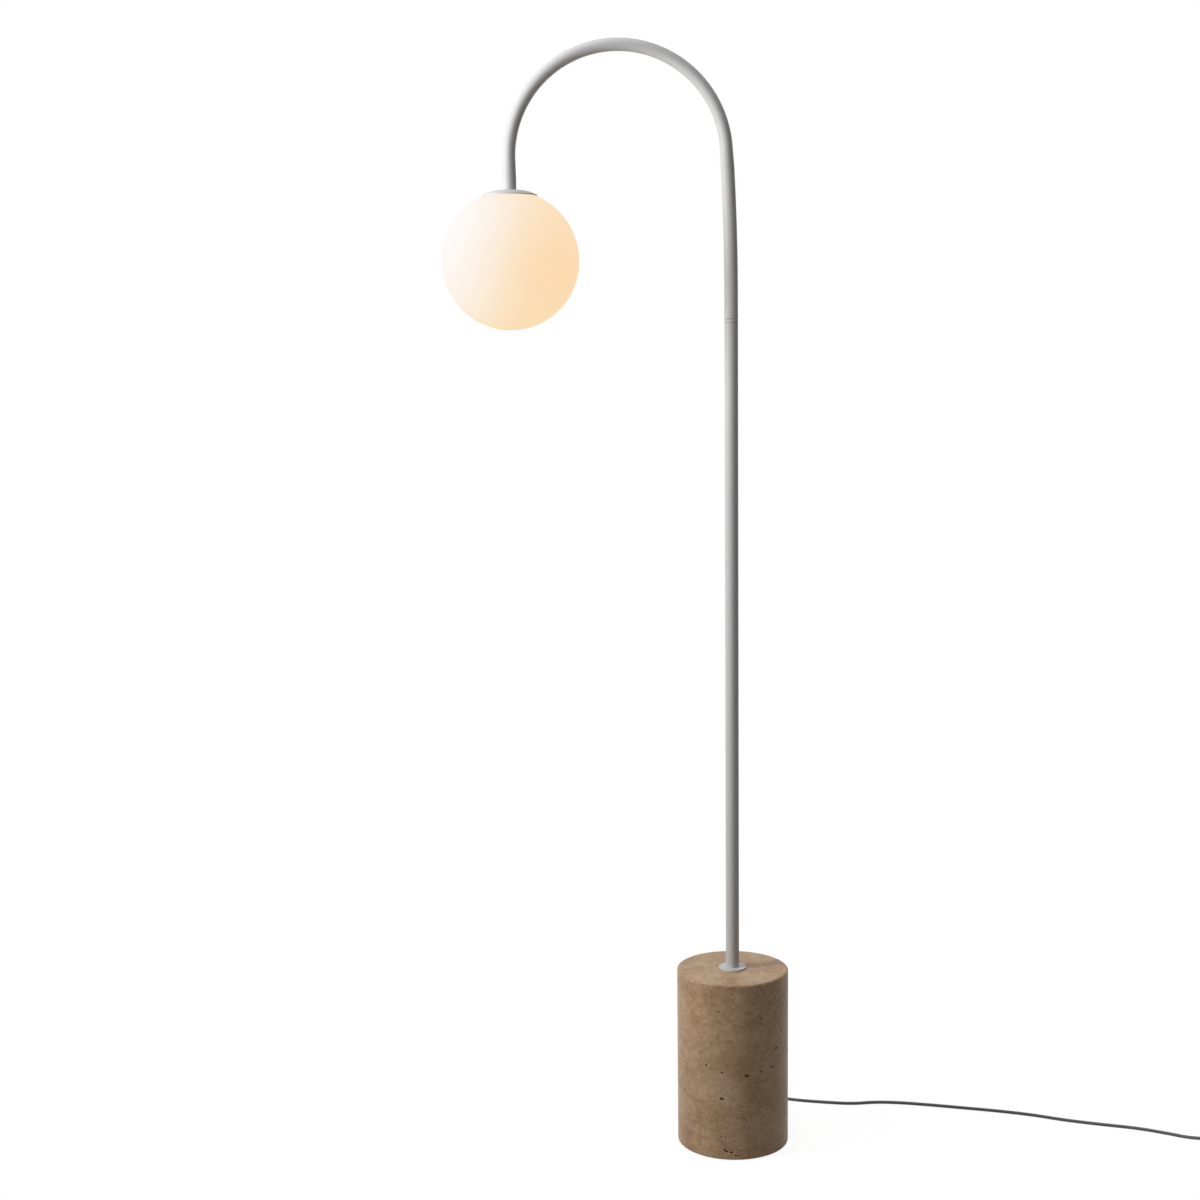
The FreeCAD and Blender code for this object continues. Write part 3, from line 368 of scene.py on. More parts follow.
# --- Plug ---------------------------------------------------------------------------------------------
# Two-pin mains plug moulded on the end of the cord: a flat body that widens to its face, a ribbed sleeve
# at its back, and two round pins that are sheathed for half their length.
plug_heading = math.radians(115.5)
plug_frame = Matrix.Translation([c / 1000 for c in plug_place]) @ Matrix.Rotation(plug_heading, 4, "Z")
plug_sleeve_length = 24.0
prong_reach = 9.3
sheath_end = 66.0
plug_sections = [
    (21.5, 10.4, 10.4, 2.0), (22.5, 11.6, 11.2, 2.2), (24.5, 14.0, 12.4, 2.6), (28.0, 16.6, 13.3, 3.2),
    (32.0, 18.0, 13.6, 3.6), (38.0, 19.8, 13.6, 4.0), (46.0, 23.0, 13.6, 4.0), (52.0, 25.8, 13.6, 4.0),
    (54.8, 26.9, 13.5, 4.0), (55.7, 26.5, 13.1, 4.0), (56.0, 25.6, 12.2, 4.0),
]


def skinned(name, bm, rings, closed=False):
    """A smooth mesh over rings of corners, with its ends filled, or joined where it closes on itself."""
    for first, second in zip(rings, rings[1:] + (rings[:1] if closed else [])):
        for k in range(len(first)):
            bm.faces.new((first[k - 1], first[k], second[k], second[k - 1]))
    if not closed:
        bm.faces.new(rings[0])
        bm.faces.new(reversed(rings[-1]))
    bmesh.ops.recalc_face_normals(bm, faces=bm.faces)
    mesh = bpy.data.meshes.new(name)
    bm.to_mesh(mesh)
    bm.free()
    mesh.shade_smooth()
    return mesh


def lofted(name, sections, around, place):
    """A closed body through rounded sections: place along, width, height and squareness of each."""
    bm = bmesh.new()
    rings = []
    for along, width, height, squareness in sections:
        ring = []
        for k in range(around):
            a = 2 * math.pi * k / around
            c, s = math.cos(a), math.sin(a)
            y = math.copysign(abs(c) ** (2 / squareness), c) * width / 2
            z = math.copysign(abs(s) ** (2 / squareness), s) * height / 2
            ring.append(bm.verts.new(place @ (Vector((along, y, z)) / 1000)))
        rings.append(ring)
    mesh = skinned(name, bm, rings)
    mesh.set_sharp_from_angle(angle=math.radians(40))
    return added(name, mesh)


def turned(name, profile, place, around=40):
    """A piece turned about its own X axis from pairs of place along and radius."""
    return lofted(name, [(along, 2 * radius, 2 * radius, 2.0) for along, radius in profile], around, place)


def ribbed_sleeve(start, end, root, tip, ribs, groove, back):
    """Profile of a tapered flex sleeve: full rings with grooves between them, from its back to its tip."""
    pitch = (end - start) / ribs
    profile = list(back)
    for k in range(ribs):
        low, high = start + pitch * k, start + pitch * (k + 1)
        wide = root + (tip - root) * (k + 0.4) / ribs
        profile += [(low, wide), (low + pitch * 0.08, wide + 0.12), (low + pitch * 0.55, wide),
                    (low + pitch * 0.62, wide - groove)]
        if k < ribs - 1:
            profile += [(high - pitch * 0.06, wide - groove)]
    return profile


plug_plastic = coated("plug_plastic", (0.055, 0.054, 0.053), (0.042, 0.041, 0.04), 0.48, spread=0.12,
                      grain_scale=1600.0, bump=0.1, cloud_scale=50.0, specular=0.45)
plug_shell = lofted("plug_shell", plug_sections, 48, plug_frame)
plug_shell.data.materials.append(plug_plastic)
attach(plug_shell, "base")
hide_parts("plug_body")

sleeve_from_plug = ribbed_sleeve(1.5, 22.5, 5.3, 3.5, 6, 0.8, [(0.0, 5.0)])
sleeve_profile = [(0.0, 2.45), (0.0, 3.1), (0.5, 3.4)]
sleeve_profile += [(plug_sleeve_length - along, radius) for along, radius in reversed(sleeve_from_plug)]
plug_sleeve = turned("plug_sleeve", sleeve_profile, plug_frame)
plug_sleeve.data.materials.append(plug_plastic)
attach(plug_sleeve, "base")
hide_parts("plug_relief")

# Turned marks: the fine rings and brushed streaks of machined metal, as a height and a roughness.
turned_marks, given, out = effect(
    "turned_marks",
    {"Mark Scale": ("NodeSocketFloat", 900.0), "Roughness": ("NodeSocketFloat", 0.3),
     "Roughness Spread": ("NodeSocketFloat", 0.25)},
    {"Height": "NodeSocketFloat", "Roughness": "NodeSocketFloat"})
marks = put(turned_marks, "ShaderNodeTexNoise", {
    "Vector": stretched(turned_marks, 0.06, 0.06, 1.0), "Scale": given["Mark Scale"], "Detail": 4.0,
    "Roughness": 0.7})
uneven_sheen = swung(turned_marks, marks.outputs["Fac"], given["Roughness Spread"], given["Roughness"])
turned_marks.links.new(marks.outputs["Fac"], out["Height"])
turned_marks.links.new(uneven_sheen, out["Roughness"])


def bare_metal(name, colour, other_colour, roughness):
    """Machined or plated metal with faint marks and tint."""
    material, tree, shader = blank_material(name)
    tint = use(tree, uneven_tint, {"Colour": (*colour, 1), "Other Colour": (*other_colour, 1),
                                   "Cloud Scale": 90.0})
    marks = use(tree, turned_marks, {"Roughness": roughness})
    feed(tree, shader, {"Base Color": tint["Colour"], "Roughness": marks["Roughness"], "Metallic": 1.0,
                        "Normal": relief(tree, marks["Height"], 0.15, 0.0001)})
    return material


brass = bare_metal("brass", (0.78, 0.6, 0.3), (0.7, 0.52, 0.25), 0.28)
prong_profile = [(55.5, 1.9), (65.6, 1.9), (66.0, 1.75), (66.02, 2.0), (73.6, 2.0), (74.4, 1.75),
                 (74.85, 1.2), (75.0, 0.5)]
plug_prongs, other_prong = (
    turned("plug_prongs", prong_profile, plug_frame @ Matrix.Translation((0, y / 1000, 0)), 32)
    for y in (-prong_reach, prong_reach))
join = bmesh.new()
for prong in (plug_prongs, other_prong):
    join.from_mesh(prong.data)
join.to_mesh(plug_prongs.data)
join.free()
bpy.data.objects.remove(other_prong)
plug_prongs.data.materials.append(brass)
plug_prongs.data.materials.append(plug_plastic)
for face in plug_prongs.data.polygons:
    along = (plug_frame.inverted() @ face.center).x * 1000
    face.material_index = 1 if along < sheath_end else 0
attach(plug_prongs, "base")
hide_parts("plug_pins")

# --- Foot switch --------------------------------------------------------------------------------------
# Oblong two-part housing in fine-grained plastic, joined by screws from below, on a thin rubber pad. A
# round sprung button stands out of its top, and a ribbed rubber boot holds the cord at each end.
rubber = coated("soft_rubber", (0.055, 0.054, 0.053), (0.04, 0.04, 0.039), 0.62, spread=0.12,
                grain_scale=1200.0, bump=0.12, cloud_scale=60.0, specular=0.4)
switch_plastic = coated("switch_plastic", (0.06, 0.059, 0.058), (0.046, 0.045, 0.044), 0.5, spread=0.12,
                        grain_scale=1800.0, bump=0.18, cloud_scale=40.0, specular=0.45)
button_plastic = coated("button_plastic", (0.085, 0.084, 0.082), (0.07, 0.069, 0.067), 0.38, spread=0.2,
                        grain_scale=1600.0, bump=0.08, cloud_scale=70.0)
dress(switch_plastic, "switch_base", "switch_cover")
dress(button_plastic, "switch_button")
dress(rubber, "switch_pad")
contact_nylon = coated("contact_nylon", (0.09, 0.09, 0.09), (0.07, 0.07, 0.07), 0.55)
dress(contact_nylon, "switch_contacts")
zinc_steel = bare_metal("zinc_steel", (0.62, 0.62, 0.6), (0.54, 0.54, 0.53), 0.32)
dress(zinc_steel, "switch_screws")

switch_heading = math.radians(-32)
switch_frame = Matrix.Translation((0.782, -0.081, 0.010)) @ Matrix.Rotation(switch_heading, 4, "Z")
boot_profile = ribbed_sleeve(32.5, 43.6, 4.9, 3.4, 4, 0.75, [
    (27.2, 2.6), (27.2, 4.2), (29.2, 4.2), (29.2, 3.2), (31.0, 3.2), (31.0, 4.9)])
boot_profile += [(44.4, 3.3), (45.0, 3.0), (45.0, 2.45)]
for turn in (0, 180):
    boot_frame = switch_frame @ Matrix.Rotation(math.radians(turn), 4, "Z")
    sleeve = turned("switch_sleeve_%d" % turn, boot_profile, boot_frame)
    sleeve.data.materials.append(rubber)
    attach(sleeve, "base")
    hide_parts("switch_boots")

# The button's spring: five turns of round wire, pressed together as the button goes down
spring_turns, spring_steps = 5, 28
spring_radius, wire_radius, wire_sides = 6.5, 0.45, 10
spring_low, spring_high = (Vector(corner) * 1000 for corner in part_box("switch_spring"))
spring_foot, spring_rise = spring_low.z + wire_radius, spring_high.z - spring_low.z - 2 * wire_radius
bm = bmesh.new()
rings = []
for k in range(spring_turns * spring_steps + 1):
    a = 2 * math.pi * k / spring_steps + switch_heading
    out_way = Vector((math.cos(a), math.sin(a), 0))
    middle = switch_frame.translation * 1000 + out_way * spring_radius
    middle.z = spring_foot + spring_rise * k / (spring_turns * spring_steps)
    ring = []
    for side in range(wire_sides):
        b = 2 * math.pi * side / wire_sides
        skin_way = out_way * math.cos(b) + Vector((0, 0, math.sin(b)))
        ring.append(bm.verts.new((middle + skin_way * wire_radius) / 1000))
    rings.append(ring)
button_spring = added("button_spring", skinned("button_spring", bm, rings))
button_spring.data.materials.append(zinc_steel)
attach(button_spring, "base")
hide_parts("switch_spring")
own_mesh(button_spring)

# --- Stone base ---------------------------------------------------------------------------------------
# One turned block of brown travertine, honed, with softly rounded edges. The stone is cloudy, with pale
# flecks and a few open pits, some larger ones where they show in front.
stone_dark = (0.363, 0.217, 0.118, 1)
stone_mid = (0.466, 0.298, 0.171, 1)
stone_pale = (0.563, 0.383, 0.242, 1)
fleck_pale = (0.64, 0.48, 0.345, 1)
vein_brown = (0.17, 0.095, 0.055, 1)
# Near black painted into the pits as the shade in their hollows
pit_shade = (0.022, 0.013, 0.008, 1)
stone_radius = 84.5
pit_depth = 4.0
raggedness = 2.4
# The larger pits: degrees round the stone, height, half width, half height, degrees of tilt
open_pits = [
    (-79.6, 132.0, 3.5, 1.6, 22), (-105.0, 96.0, 3.0, 1.4, 5), (-82.7, 67.0, 1.6, 1.2, 0),
    (-105.0, 136.4, 1.8, 1.0, 10), (-108.0, 230.2, 1.2, 1.1, 0), (-64.2, 217.3, 1.4, 0.9, 0),
    (-44.0, 165.6, 2.5, 1.2, 8), (-34.9, 188.2, 1.5, 1.3, 0), (-50.0, 138.4, 2.0, 1.2, 15),
    (-16.9, 151.0, 2.2, 1.7, 0), (-122.3, 145.1, 1.4, 1.1, 0), (-101.0, 15.3, 3.6, 1.4, 32),
    (-95.5, 13.0, 1.8, 1.3, 20), (-106.0, 36.7, 1.3, 0.8, 0), (-101.5, 37.1, 1.6, 0.8, 0),
    (-91.0, 8.0, 1.5, 0.9, 0), (-64.0, 136.0, 2.4, 0.7, 5), (-69.9, 24.3, 1.3, 0.8, 0),
    (-27.3, 53.9, 2.0, 1.0, 25), (-56.8, 75.2, 1.2, 0.8, 0), (62.0, 180.0, 3.1, 1.5, 12),
    (98.0, 96.0, 2.6, 1.2, -10), (131.0, 201.0, 1.9, 1.2, 0), (158.0, 74.0, 2.8, 1.4, 8),
    (24.0, 60.0, 2.4, 1.2, -6),
]
travertine, tree, shader = blank_material("travertine")
place = placed(tree)
bedded = stretched(tree, 1.0, 1.0, 1.3)


def stone_noise(scale, detail, roughness, distortion):
    """One soft pattern in the stone, its features about 1/scale metres wide."""
    return put(tree, "ShaderNodeTexNoise", {
        "Vector": bedded, "Scale": scale, "Detail": detail, "Roughness": roughness,
        "Distortion": distortion}).outputs["Fac"]


def stepped(tree, value, start, end, strength=1.0):
    """A soft step that follows a value, from none where it starts to full strength where it ends."""
    return put(tree, "ShaderNodeMapRange", {
        "Value": value, "From Min": start, "From Max": end, "To Min": 0.0, "To Max": strength},
        interpolation_type="SMOOTHSTEP").outputs[0]


drift = stone_noise(14.0, 6.0, 0.62, 0.5)
mottle = stone_noise(80.0, 8.0, 0.68, 0.9)
speckle = stone_noise(430.0, 3.0, 0.7, 0.3)
shade = swung(tree, drift, 1.8, 0.5)
shade = swung(tree, mottle, 2.4, shade)
shade = swung(tree, speckle, 0.8, shade, clamp=True)
tones = put(tree, "ShaderNodeValToRGB", {"Fac": shade})
tones.color_ramp.elements[0].position = 0.1
tones.color_ramp.elements[0].color = stone_dark
tones.color_ramp.elements[1].position = 0.9
tones.color_ramp.elements[1].color = stone_pale
tones.color_ramp.elements.new(0.5).color = stone_mid

# Pale calcite patches and specks, then thin brown veins where the layers part
patches = stepped(tree, stone_noise(105.0, 6.0, 0.7, 1.6), 0.55, 0.66, 0.8)
specks = reckoned(tree, "MULTIPLY", stepped(tree, stone_noise(300.0, 4.0, 0.6, 1.0), 0.6, 0.68, 0.85),
                  stepped(tree, drift, 0.42, 0.56))
stone_colour = mixed(tree, reckoned(tree, "MAXIMUM", patches, specks), tones.outputs["Color"], fleck_pale)
ridge = reckoned(tree, "ABSOLUTE", reckoned(tree, "ADD", stone_noise(42.0, 6.0, 0.7, 1.4), -0.5))
veins = reckoned(tree, "MULTIPLY", stepped(tree, ridge, 0.011, 0.002, 0.6),
                 stepped(tree, stone_noise(19.0, 2.0, 0.5, 0.0), 0.55, 0.62))
stone_colour = mixed(tree, veins, stone_colour, vein_brown)

# A place that wavers gives all pits their ragged rims: small scattered ones, then the larger ones
waver = put(tree, "ShaderNodeTexNoise", {"Vector": place, "Scale": 330.0, "Detail": 2.0}).outputs["Color"]
waver = put(tree, "ShaderNodeVectorMath", {0: waver, 1: (raggedness / 1000,) * 3}, operation="MULTIPLY")
ragged = put(tree, "ShaderNodeVectorMath", {0: place, 1: waver.outputs[0]}, operation="ADD").outputs[0]
cells = put(tree, "ShaderNodeTexVoronoi", {"Vector": ragged, "Scale": 78.0})
chance = put(tree, "ShaderNodeSeparateColor", {0: cells.outputs["Color"]}).outputs[1]
pits = reckoned(tree, "MULTIPLY", reckoned(tree, "GREATER_THAN", chance, 0.86),
                stepped(tree, cells.outputs["Distance"], 0.085, 0.05, 0.8))
for angle, height, half_width, half_height, tilt in open_pits:
    a = math.radians(angle)
    pit_place = (stone_radius * math.cos(a), stone_radius * math.sin(a), height)
    near = put(tree, "ShaderNodeMapping", {
        "Vector": ragged, "Location": tuple((c + raggedness / 2) / 1000 for c in pit_place),
        "Rotation": (0.0, math.radians(tilt), a + math.pi / 2),
        "Scale": (half_width / 1000, pit_depth / 1000, half_height / 1000)}, vector_type="TEXTURE")
    far = put(tree, "ShaderNodeVectorMath", {0: near.outputs[0]}, operation="LENGTH").outputs["Value"]
    pits = reckoned(tree, "MAXIMUM", pits, stepped(tree, far, 1.3, 0.85))
stone_height = reckoned(tree, "SUBTRACT", reckoned(tree, "MULTIPLY", speckle, 0.05),
                        reckoned(tree, "MULTIPLY_ADD", veins, 0.25, pits))
rough = reckoned(tree, "MULTIPLY_ADD", mottle, 0.25, 0.33)
# The pits take a painted near-black shade for their hollows, besides their dent and duller sheen
feed(tree, shader, {"Base Color": mixed(tree, pits, stone_colour, pit_shade),
                    "Roughness": reckoned(tree, "MAXIMUM", rough, pits), "Specular IOR Level": 0.22,
                    "Normal": relief(tree, stone_height, 0.6, 0.0012)})
dress(travertine, "travertine_base")

# --- Felt pad -----------------------------------------------------------------------------------------
# Disc of pressed felt, 3 mm thick, glued in a shallow seat under the stone. Only a millimetre of its edge
# shows, slightly rounded and hairy.
pad_radius = 74.0
felt_pad = turned("felt_pad", [(0.0, pad_radius - 0.9), (0.15, pad_radius - 0.4), (0.45, pad_radius - 0.1),
                               (0.8, pad_radius), (2.6, pad_radius), (3.0, pad_radius - 0.3)],
                  Matrix.Rotation(-math.pi / 2, 4, "Y"), 160)
felt_pad.data.materials.append(cloth_of("felt", (0.07, 0.065, 0.06), (0.15, 0.14, 0.13), 700.0, 0.7, 0.3))
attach(felt_pad, "base")
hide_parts("floor_pad")

# --- Inside of the base -------------------------------------------------------------------------------
# Steel cover plate over the pocket, its screws in nylon plugs, and the hollow rod with washer and nut that
# pulls the pole down on the stone. The cord's clamp and the terminal block stand on the plate.
black_steel = coated("black_steel", (0.045, 0.045, 0.045), (0.035, 0.035, 0.035), 0.55)
black_nylon = coated("black_nylon", (0.07, 0.07, 0.07), (0.055, 0.055, 0.055), 0.5)
white_plastic = coated("white_plastic", (0.78, 0.77, 0.74), (0.72, 0.71, 0.68), 0.45)
dress(black_steel, "cover_plate")
dress(zinc_steel, "cover_screws", "tie_rod", "tie_washer", "tie_nut", "clamp_screws", "foot_insert")
dress(black_nylon, "cover_plugs", "clamp_saddle", "clamp_bar")
dress(white_plastic, "terminal_block")
dress(brass, "terminal_screws")

# --- Cord outlet --------------------------------------------------------------------------------------
# Moulded rubber sleeve pressed into the back of the stone. Its collar lies on the stone, and its grooves
# let the tapered end bend with the cord.
outlet_frame = Matrix.Translation((0, 0, 0.012)) @ Matrix.Rotation(math.pi / 2, 4, "Z")
outlet_profile = ribbed_sleeve(87.2, 104.8, 5.15, 3.5, 5, 0.8, [
    (70.5, 2.45), (70.5, 4.5), (84.45, 4.5), (84.45, 6.8), (84.7, 7.0), (86.0, 7.0), (86.4, 6.6),
    (86.5, 5.3)])
outlet_profile += [(105.8, 3.4), (106.5, 3.1), (106.5, 2.45)]
outlet_sleeve = turned("outlet_sleeve", outlet_profile, outlet_frame)
outlet_sleeve.data.materials.append(rubber)
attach(outlet_sleeve, "base")
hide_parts("strain_relief")

# --- Pole ---------------------------------------------------------------------------------------------
# Straight steel tube, 20 mm across, screwed down on a thin round flange. Both are powder coated in a pale
# grey with a smooth satin skin.
coat_grey = (0.622, 0.624, 0.626)
pale_coat = coated("pale_coat", coat_grey, (0.6, 0.602, 0.604), 0.45, spread=0.08,
                   grain_scale=1500.0, bump=0.003, cloud_scale=9.0, specular=0.2)
dress(pale_coat, "pole_flange", "lower_pole")
cable_white = coated("cable_white", (0.68, 0.67, 0.64), (0.62, 0.61, 0.58), 0.5)
dress(cable_white, "pole_cable", "arm_cable")

# --- Coupling -----------------------------------------------------------------------------------------
# Turned aluminium plug and spigot in the pole's top. Its ring is flush with both tubes and coated as they
# are, with a fine seam under it that is painted dark as the shade in it, and a grey nylon washer lies
# between it and the arm.
aluminium = (0.8, 0.79, 0.77)
ring_middle, ring_reach = 1247.5, 2.6
seam_shade_middle, seam_shade_reach = 1245.15, 0.3
coupling_metal, tree, shader = blank_material("coupling_metal")
height = put(tree, "ShaderNodeSeparateXYZ", {0: placed(tree)}).outputs["Z"]
on_ring = reckoned(tree, "COMPARE", height, ring_middle / 1000, ring_reach / 1000)
in_seam_shade = reckoned(tree, "COMPARE", height, seam_shade_middle / 1000, seam_shade_reach / 1000)
marks = use(tree, turned_marks, {"Roughness": 0.3})
# A thin dark grey band at the ring's foot is painted shade, standing for the shadow in the seam
ring_coat_and_seam_shade = mixed(tree, in_seam_shade, (*coat_grey, 1), (0.2, 0.2, 0.2, 1))
feed(tree, shader, {"Base Color": mixed(tree, on_ring, (*aluminium, 1), ring_coat_and_seam_shade),
                    "Metallic": reckoned(tree, "SUBTRACT", 1.0, on_ring), "Specular IOR Level": 0.3,
                    "Roughness": reckoned(tree, "MULTIPLY_ADD", on_ring, 0.15, marks["Roughness"])})
dress(coupling_metal, "pole_coupling")
grey_nylon = coated("grey_nylon", (0.3, 0.3, 0.3), (0.26, 0.26, 0.26), 0.5)
dress(grey_nylon, "thrust_washer", "arm_bush")
dress(black_steel, "swivel_screw")

# --- Arm ----------------------------------------------------------------------------------------------
# The same tube, leaning a little and then bent to a half circle on a machine that leaves it slightly
# flattened. It is coated like the pole, and its grub screw sits in a hole at the back of its foot.
tube_radius, tube_wall, tube_sides = 10.0, 1.5, 72
foot_bevel = 0.25
foot_height, straight_top, lean_angle = 1250.7, 1284.5, math.radians(3.1)
bend_radius, bend_height, bend_lead = 157.5, 1485.0, 24.0
cap_top, leg_plain_top = 1438.5, 1456.5
bend_thinner, bend_wider = 0.75, 0.5
lean_steps, fade_steps = 8, 4
lean_radius = (bend_height + bend_radius * math.sin(lean_angle) - bend_lead * math.cos(lean_angle)
               - straight_top) / math.sin(lean_angle)
lean_x = -lean_radius * (1 - math.cos(lean_angle))
lean_z = straight_top + lean_radius * math.sin(lean_angle)
bend_x = lean_x - bend_lead * math.sin(lean_angle) - bend_radius * math.cos(lean_angle)


def arm_stations(degrees_apart):
    """Middle points of the tube from foot to cap: x, z, turn of the section, share of flattening."""
    stations = [(0, foot_height, 0, 0), (0, (foot_height + straight_top) / 2, 0, 0)]
    for k in range(lean_steps + 1):
        a = lean_angle * k / lean_steps
        stations.append((-lean_radius * (1 - math.cos(a)), straight_top + lean_radius * math.sin(a), a, 0))
    stations.append(((lean_x + bend_x + bend_radius * math.cos(lean_angle)) / 2,
                     lean_z + bend_lead * math.cos(lean_angle) / 2, lean_angle, 0.5))
    steps = round((180 - math.degrees(lean_angle)) / degrees_apart)
    for k in range(steps + 1):
        a = lean_angle + (math.pi - lean_angle) * k / steps
        stations.append((bend_x + bend_radius * math.cos(a), bend_height + bend_radius * math.sin(a), a, 1))
    head = bend_x - bend_radius
    for k in range(1, fade_steps + 1):
        drop = (leg_plain_top - bend_height) * k / fade_steps
        stations.append((head, bend_height + drop, math.pi, 1 - k / fade_steps))
    stations.append((head, cap_top, math.pi, 0))
    return stations


def arm_ring(bm, station, radius, along=0.0):
    """One ring of the tube's skin, its section turned with the bend."""
    x, z, a, flat = station
    out_way, on_way = Vector((math.cos(a), 0, math.sin(a))), Vector((-math.sin(a), 0, math.cos(a)))
    middle = Vector((x, 0, z)) + on_way * along
    side_way = Vector((0, radius + flat * bend_wider, 0))
    ring = []
    for k in range(tube_sides):
        b = 2 * math.pi * k / tube_sides
        corner = middle + out_way * (radius - flat * bend_thinner) * math.cos(b) + side_way * math.sin(b)
        ring.append(bm.verts.new(corner / 1000))
    return ring


bm = bmesh.new()
stations, bore_stations = arm_stations(2.0), arm_stations(9.0)
rings = [arm_ring(bm, stations[0], tube_radius - foot_bevel),
         arm_ring(bm, stations[0], tube_radius, foot_bevel)]
rings += [arm_ring(bm, station, tube_radius) for station in stations[1:]]
rings += [arm_ring(bm, station, tube_radius - tube_wall) for station in reversed(bore_stations)]
bent_tube = added("bent_tube", skinned("bent_tube", bm, rings, closed=True))

# The screw hole, drilled square to the tube's back and opened out with a light touch of the countersink
hole_radius, sunk_radius = 2.05, 2.7
screw_low, screw_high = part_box("swivel_screw")
screw_height = (screw_low[2] + screw_high[2]) / 2
drill = turned("drill", [(4.0, hole_radius), (9.7, hole_radius), (10.4, sunk_radius)],
               Matrix.Translation((0, 0, screw_height)) @ Matrix.Rotation(math.pi / 2, 4, "Z"), 32)
cut = bent_tube.modifiers.new("screw_hole", "BOOLEAN")
cut.operation = "DIFFERENCE"
cut.object = drill
cut.solver = "EXACT"
drilled = bpy.data.meshes.new_from_object(bent_tube.evaluated_get(bpy.context.evaluated_depsgraph_get()))
bent_tube.modifiers.clear()
bent_tube.data = drilled
drilled.name = "bent_tube"
bpy.data.objects.remove(drill)
drilled.shade_smooth()
drilled.set_sharp_from_angle(angle=math.radians(35))
drilled.materials.clear()
drilled.materials.append(pale_coat)
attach(bent_tube, "arm")
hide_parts("arm_tube")
dress(zinc_steel, "arm_insert", "cap_nipple")

# --- Globe's cap and carrier --------------------------------------------------------------------------
# Spun steel cap, coated like the tube, over the turned aluminium carrier that centres the glass. Three
# leaf springs on the carrier grip the glass neck.
dress(pale_coat, "globe_cap")
dress(bare_metal("turned_aluminium", aluminium, (0.74, 0.73, 0.71), 0.35), "globe_carrier")
dress(bare_metal("spring_steel", (0.55, 0.55, 0.55), (0.48, 0.48, 0.49), 0.22), "globe_springs")
dress(brass, "carrier_nut")

# --- Lampholder and bulb ------------------------------------------------------------------------------
# Glazed ceramic holder under a plated cap. The bulb's two pins push up into it, and its frosted tube,
# which glows warm, hides a ceramic core.
ceramic = coated("ceramic", (0.86, 0.85, 0.82), (0.8, 0.79, 0.76), 0.25, bump=0.04)
dress(ceramic, "lampholder", "bulb_base", "bulb_core")
dress(zinc_steel, "holder_cap", "bulb_pins")
frosted = coated("frosted_tube", (0.95, 0.92, 0.88), (0.9, 0.87, 0.82), 0.6, bump=0.05)
feed(frosted.node_tree, frosted.node_tree.nodes["Principled BSDF"],
     {"Emission Color": (1.0, 0.78, 0.52, 1), "Emission Strength": 2.0})
dress(frosted, "bulb_glass")

# --- Glass globe --------------------------------------------------------------------------------------
# Blown opal glass, 200 mm across, with a matt etched skin. The glass is given a painted glow, even and
# warm in soft clouds, that stands for the bulb's light shining through it. Its own colour is deep, so that
# the painted glow and the lamps' light add up to the right tone.
opal, tree, shader = blank_material("opal_glass")
grain = use(tree, fine_grain, {"Grain Scale": 1200.0, "Roughness": 0.5, "Roughness Spread": 0.08})
# The emission's soft clouds of warm colour are the painted glow of the bulb's light through the glass
tint = use(tree, uneven_tint, {"Colour": (0.966, 0.69, 0.39, 1), "Other Colour": (0.966, 0.678, 0.376, 1),
                               "Cloud Scale": 6.0})
feed(tree, shader, {"Base Color": (0.012, 0.178, 0.355, 1), "Emission Color": tint["Colour"],
                    "Emission Strength": 1.0, "Roughness": grain["Roughness"], "Specular IOR Level": 0.0,
                    "Normal": relief(tree, grain["Height"], 0.04, 0.0001)})
dress(opal, "globe_glass")

# --- Floor and light ----------------------------------------------------------------------------------
# Plain white floor that runs into a white surround. A soft lamp at the left gives the main light, and a
# wide one hangs high overhead. A small one at the left front is aimed over the head, and a weak one
# stands behind.
floor_reach = 40000
room_light = 0.05
floor_mesh = bpy.data.meshes.new("floor")
edge = floor_reach / 1000
corners = [(-edge, -edge, 0), (edge, -edge, 0), (edge, edge, 0), (-edge, edge, 0)]
floor_mesh.from_pydata(corners, [], [(0, 1, 2, 3)])
floor = added("floor", floor_mesh)


def shown_rays(tree):
    """One for what is seen straight, mirrored or through glass, none for light that only bounces."""
    ray = put(tree, "ShaderNodeLightPath").outputs
    seen_or_mirrored = reckoned(tree, "MAXIMUM", ray["Is Camera Ray"], ray["Is Glossy Ray"])
    return reckoned(tree, "MAXIMUM", seen_or_mirrored, ray["Is Transmission Ray"])


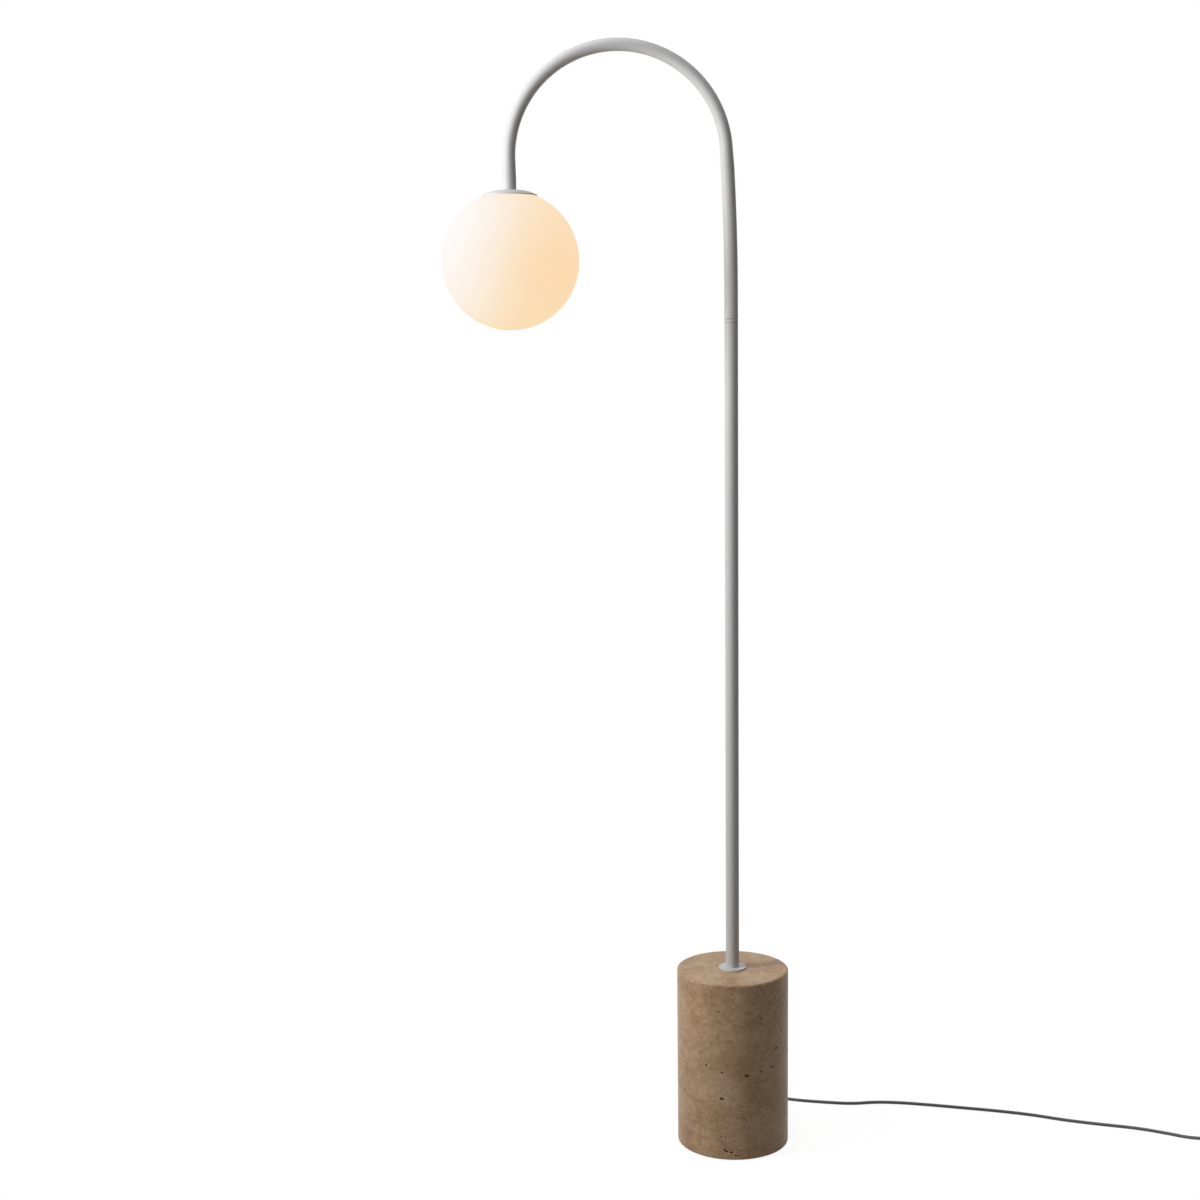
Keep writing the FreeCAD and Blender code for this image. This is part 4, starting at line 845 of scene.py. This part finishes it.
# The floor that is seen glows white, with faint shadows near the lamp; bounced light meets a greyer one
white_floor, tree, shader = blank_material("white_floor")
feed(tree, shader, {"Base Color": (0.4, 0.385, 0.365, 1), "Roughness": 1.0, "Specular IOR Level": 0.0})
away = put(tree, "ShaderNodeVectorMath", {0: placed(tree)}, operation="LENGTH").outputs["Value"]
open_floor = stepped(tree, away, 0.25, 0.95)
near_lit = put(tree, "ShaderNodeBsdfDiffuse", {"Color": (0.25, 0.25, 0.25, 1)})
near_glow = put(tree, "ShaderNodeEmission", {"Color": (1, 1, 1, 1), "Strength": 0.88})
near_floor = put(tree, "ShaderNodeAddShader", {0: near_lit.outputs[0], 1: near_glow.outputs[0]})
far_floor = put(tree, "ShaderNodeEmission", {"Color": (1, 1, 1, 1), "Strength": 1.0})
shown_floor = put(tree, "ShaderNodeMixShader", {
    0: open_floor, 1: near_floor.outputs[0], 2: far_floor.outputs[0]})
floor_look = put(tree, "ShaderNodeMixShader", {
    0: shown_rays(tree), 1: shader.outputs[0], 2: shown_floor.outputs[0]})
feed(tree, tree.nodes["Material Output"], {"Surface": floor_look.outputs[0]})
floor_mesh.materials.append(white_floor)
white_floor.cycles.emission_sampling = "NONE"

world = bpy.data.worlds.new("studio")
world.use_nodes = True
bpy.context.scene.world = world
tree = world.node_tree
brightness = reckoned(tree, "MULTIPLY_ADD", shown_rays(tree), 1 - room_light, room_light)
feed(tree, tree.nodes["Background"], {"Color": (1, 1, 1, 1), "Strength": brightness})


def soft_lamp(name, place, target, size, power, spread=180, mirrored=True):
    """A rectangular soft lamp aimed at a point; lengths in metres, power in watts, spread in degrees."""
    data = bpy.data.lights.new(name, "AREA")
    data.shape = "RECTANGLE"
    data.size, data.size_y = size
    data.energy = power
    data.spread = math.radians(spread)
    lamp = added(name, data)
    lamp.location = place
    lamp.rotation_euler = (Vector(target) - Vector(place)).to_track_quat("-Z", "Y").to_euler()
    lamp.visible_camera = False
    lamp.visible_glossy = mirrored


soft_lamp("key_lamp", (-2.26, -0.63, 1.55), (0, 0, 0.75), (0.45, 1.0), 38.5)
soft_lamp("overhead_lamp", (-0.3, -0.3, 8.5), (0, 0, 0), (4.8, 4.8), 290)
soft_lamp("front_lamp", (-1.99, -1.67, 1.9), (-0.16, 0, 3.0), (0.6, 0.6), 20, spread=120, mirrored=False)
soft_lamp("back_lamp", (0.4, 2.9, 0.9), (0, 0, 0.9), (1.2, 1.6), 14, mirrored=False)
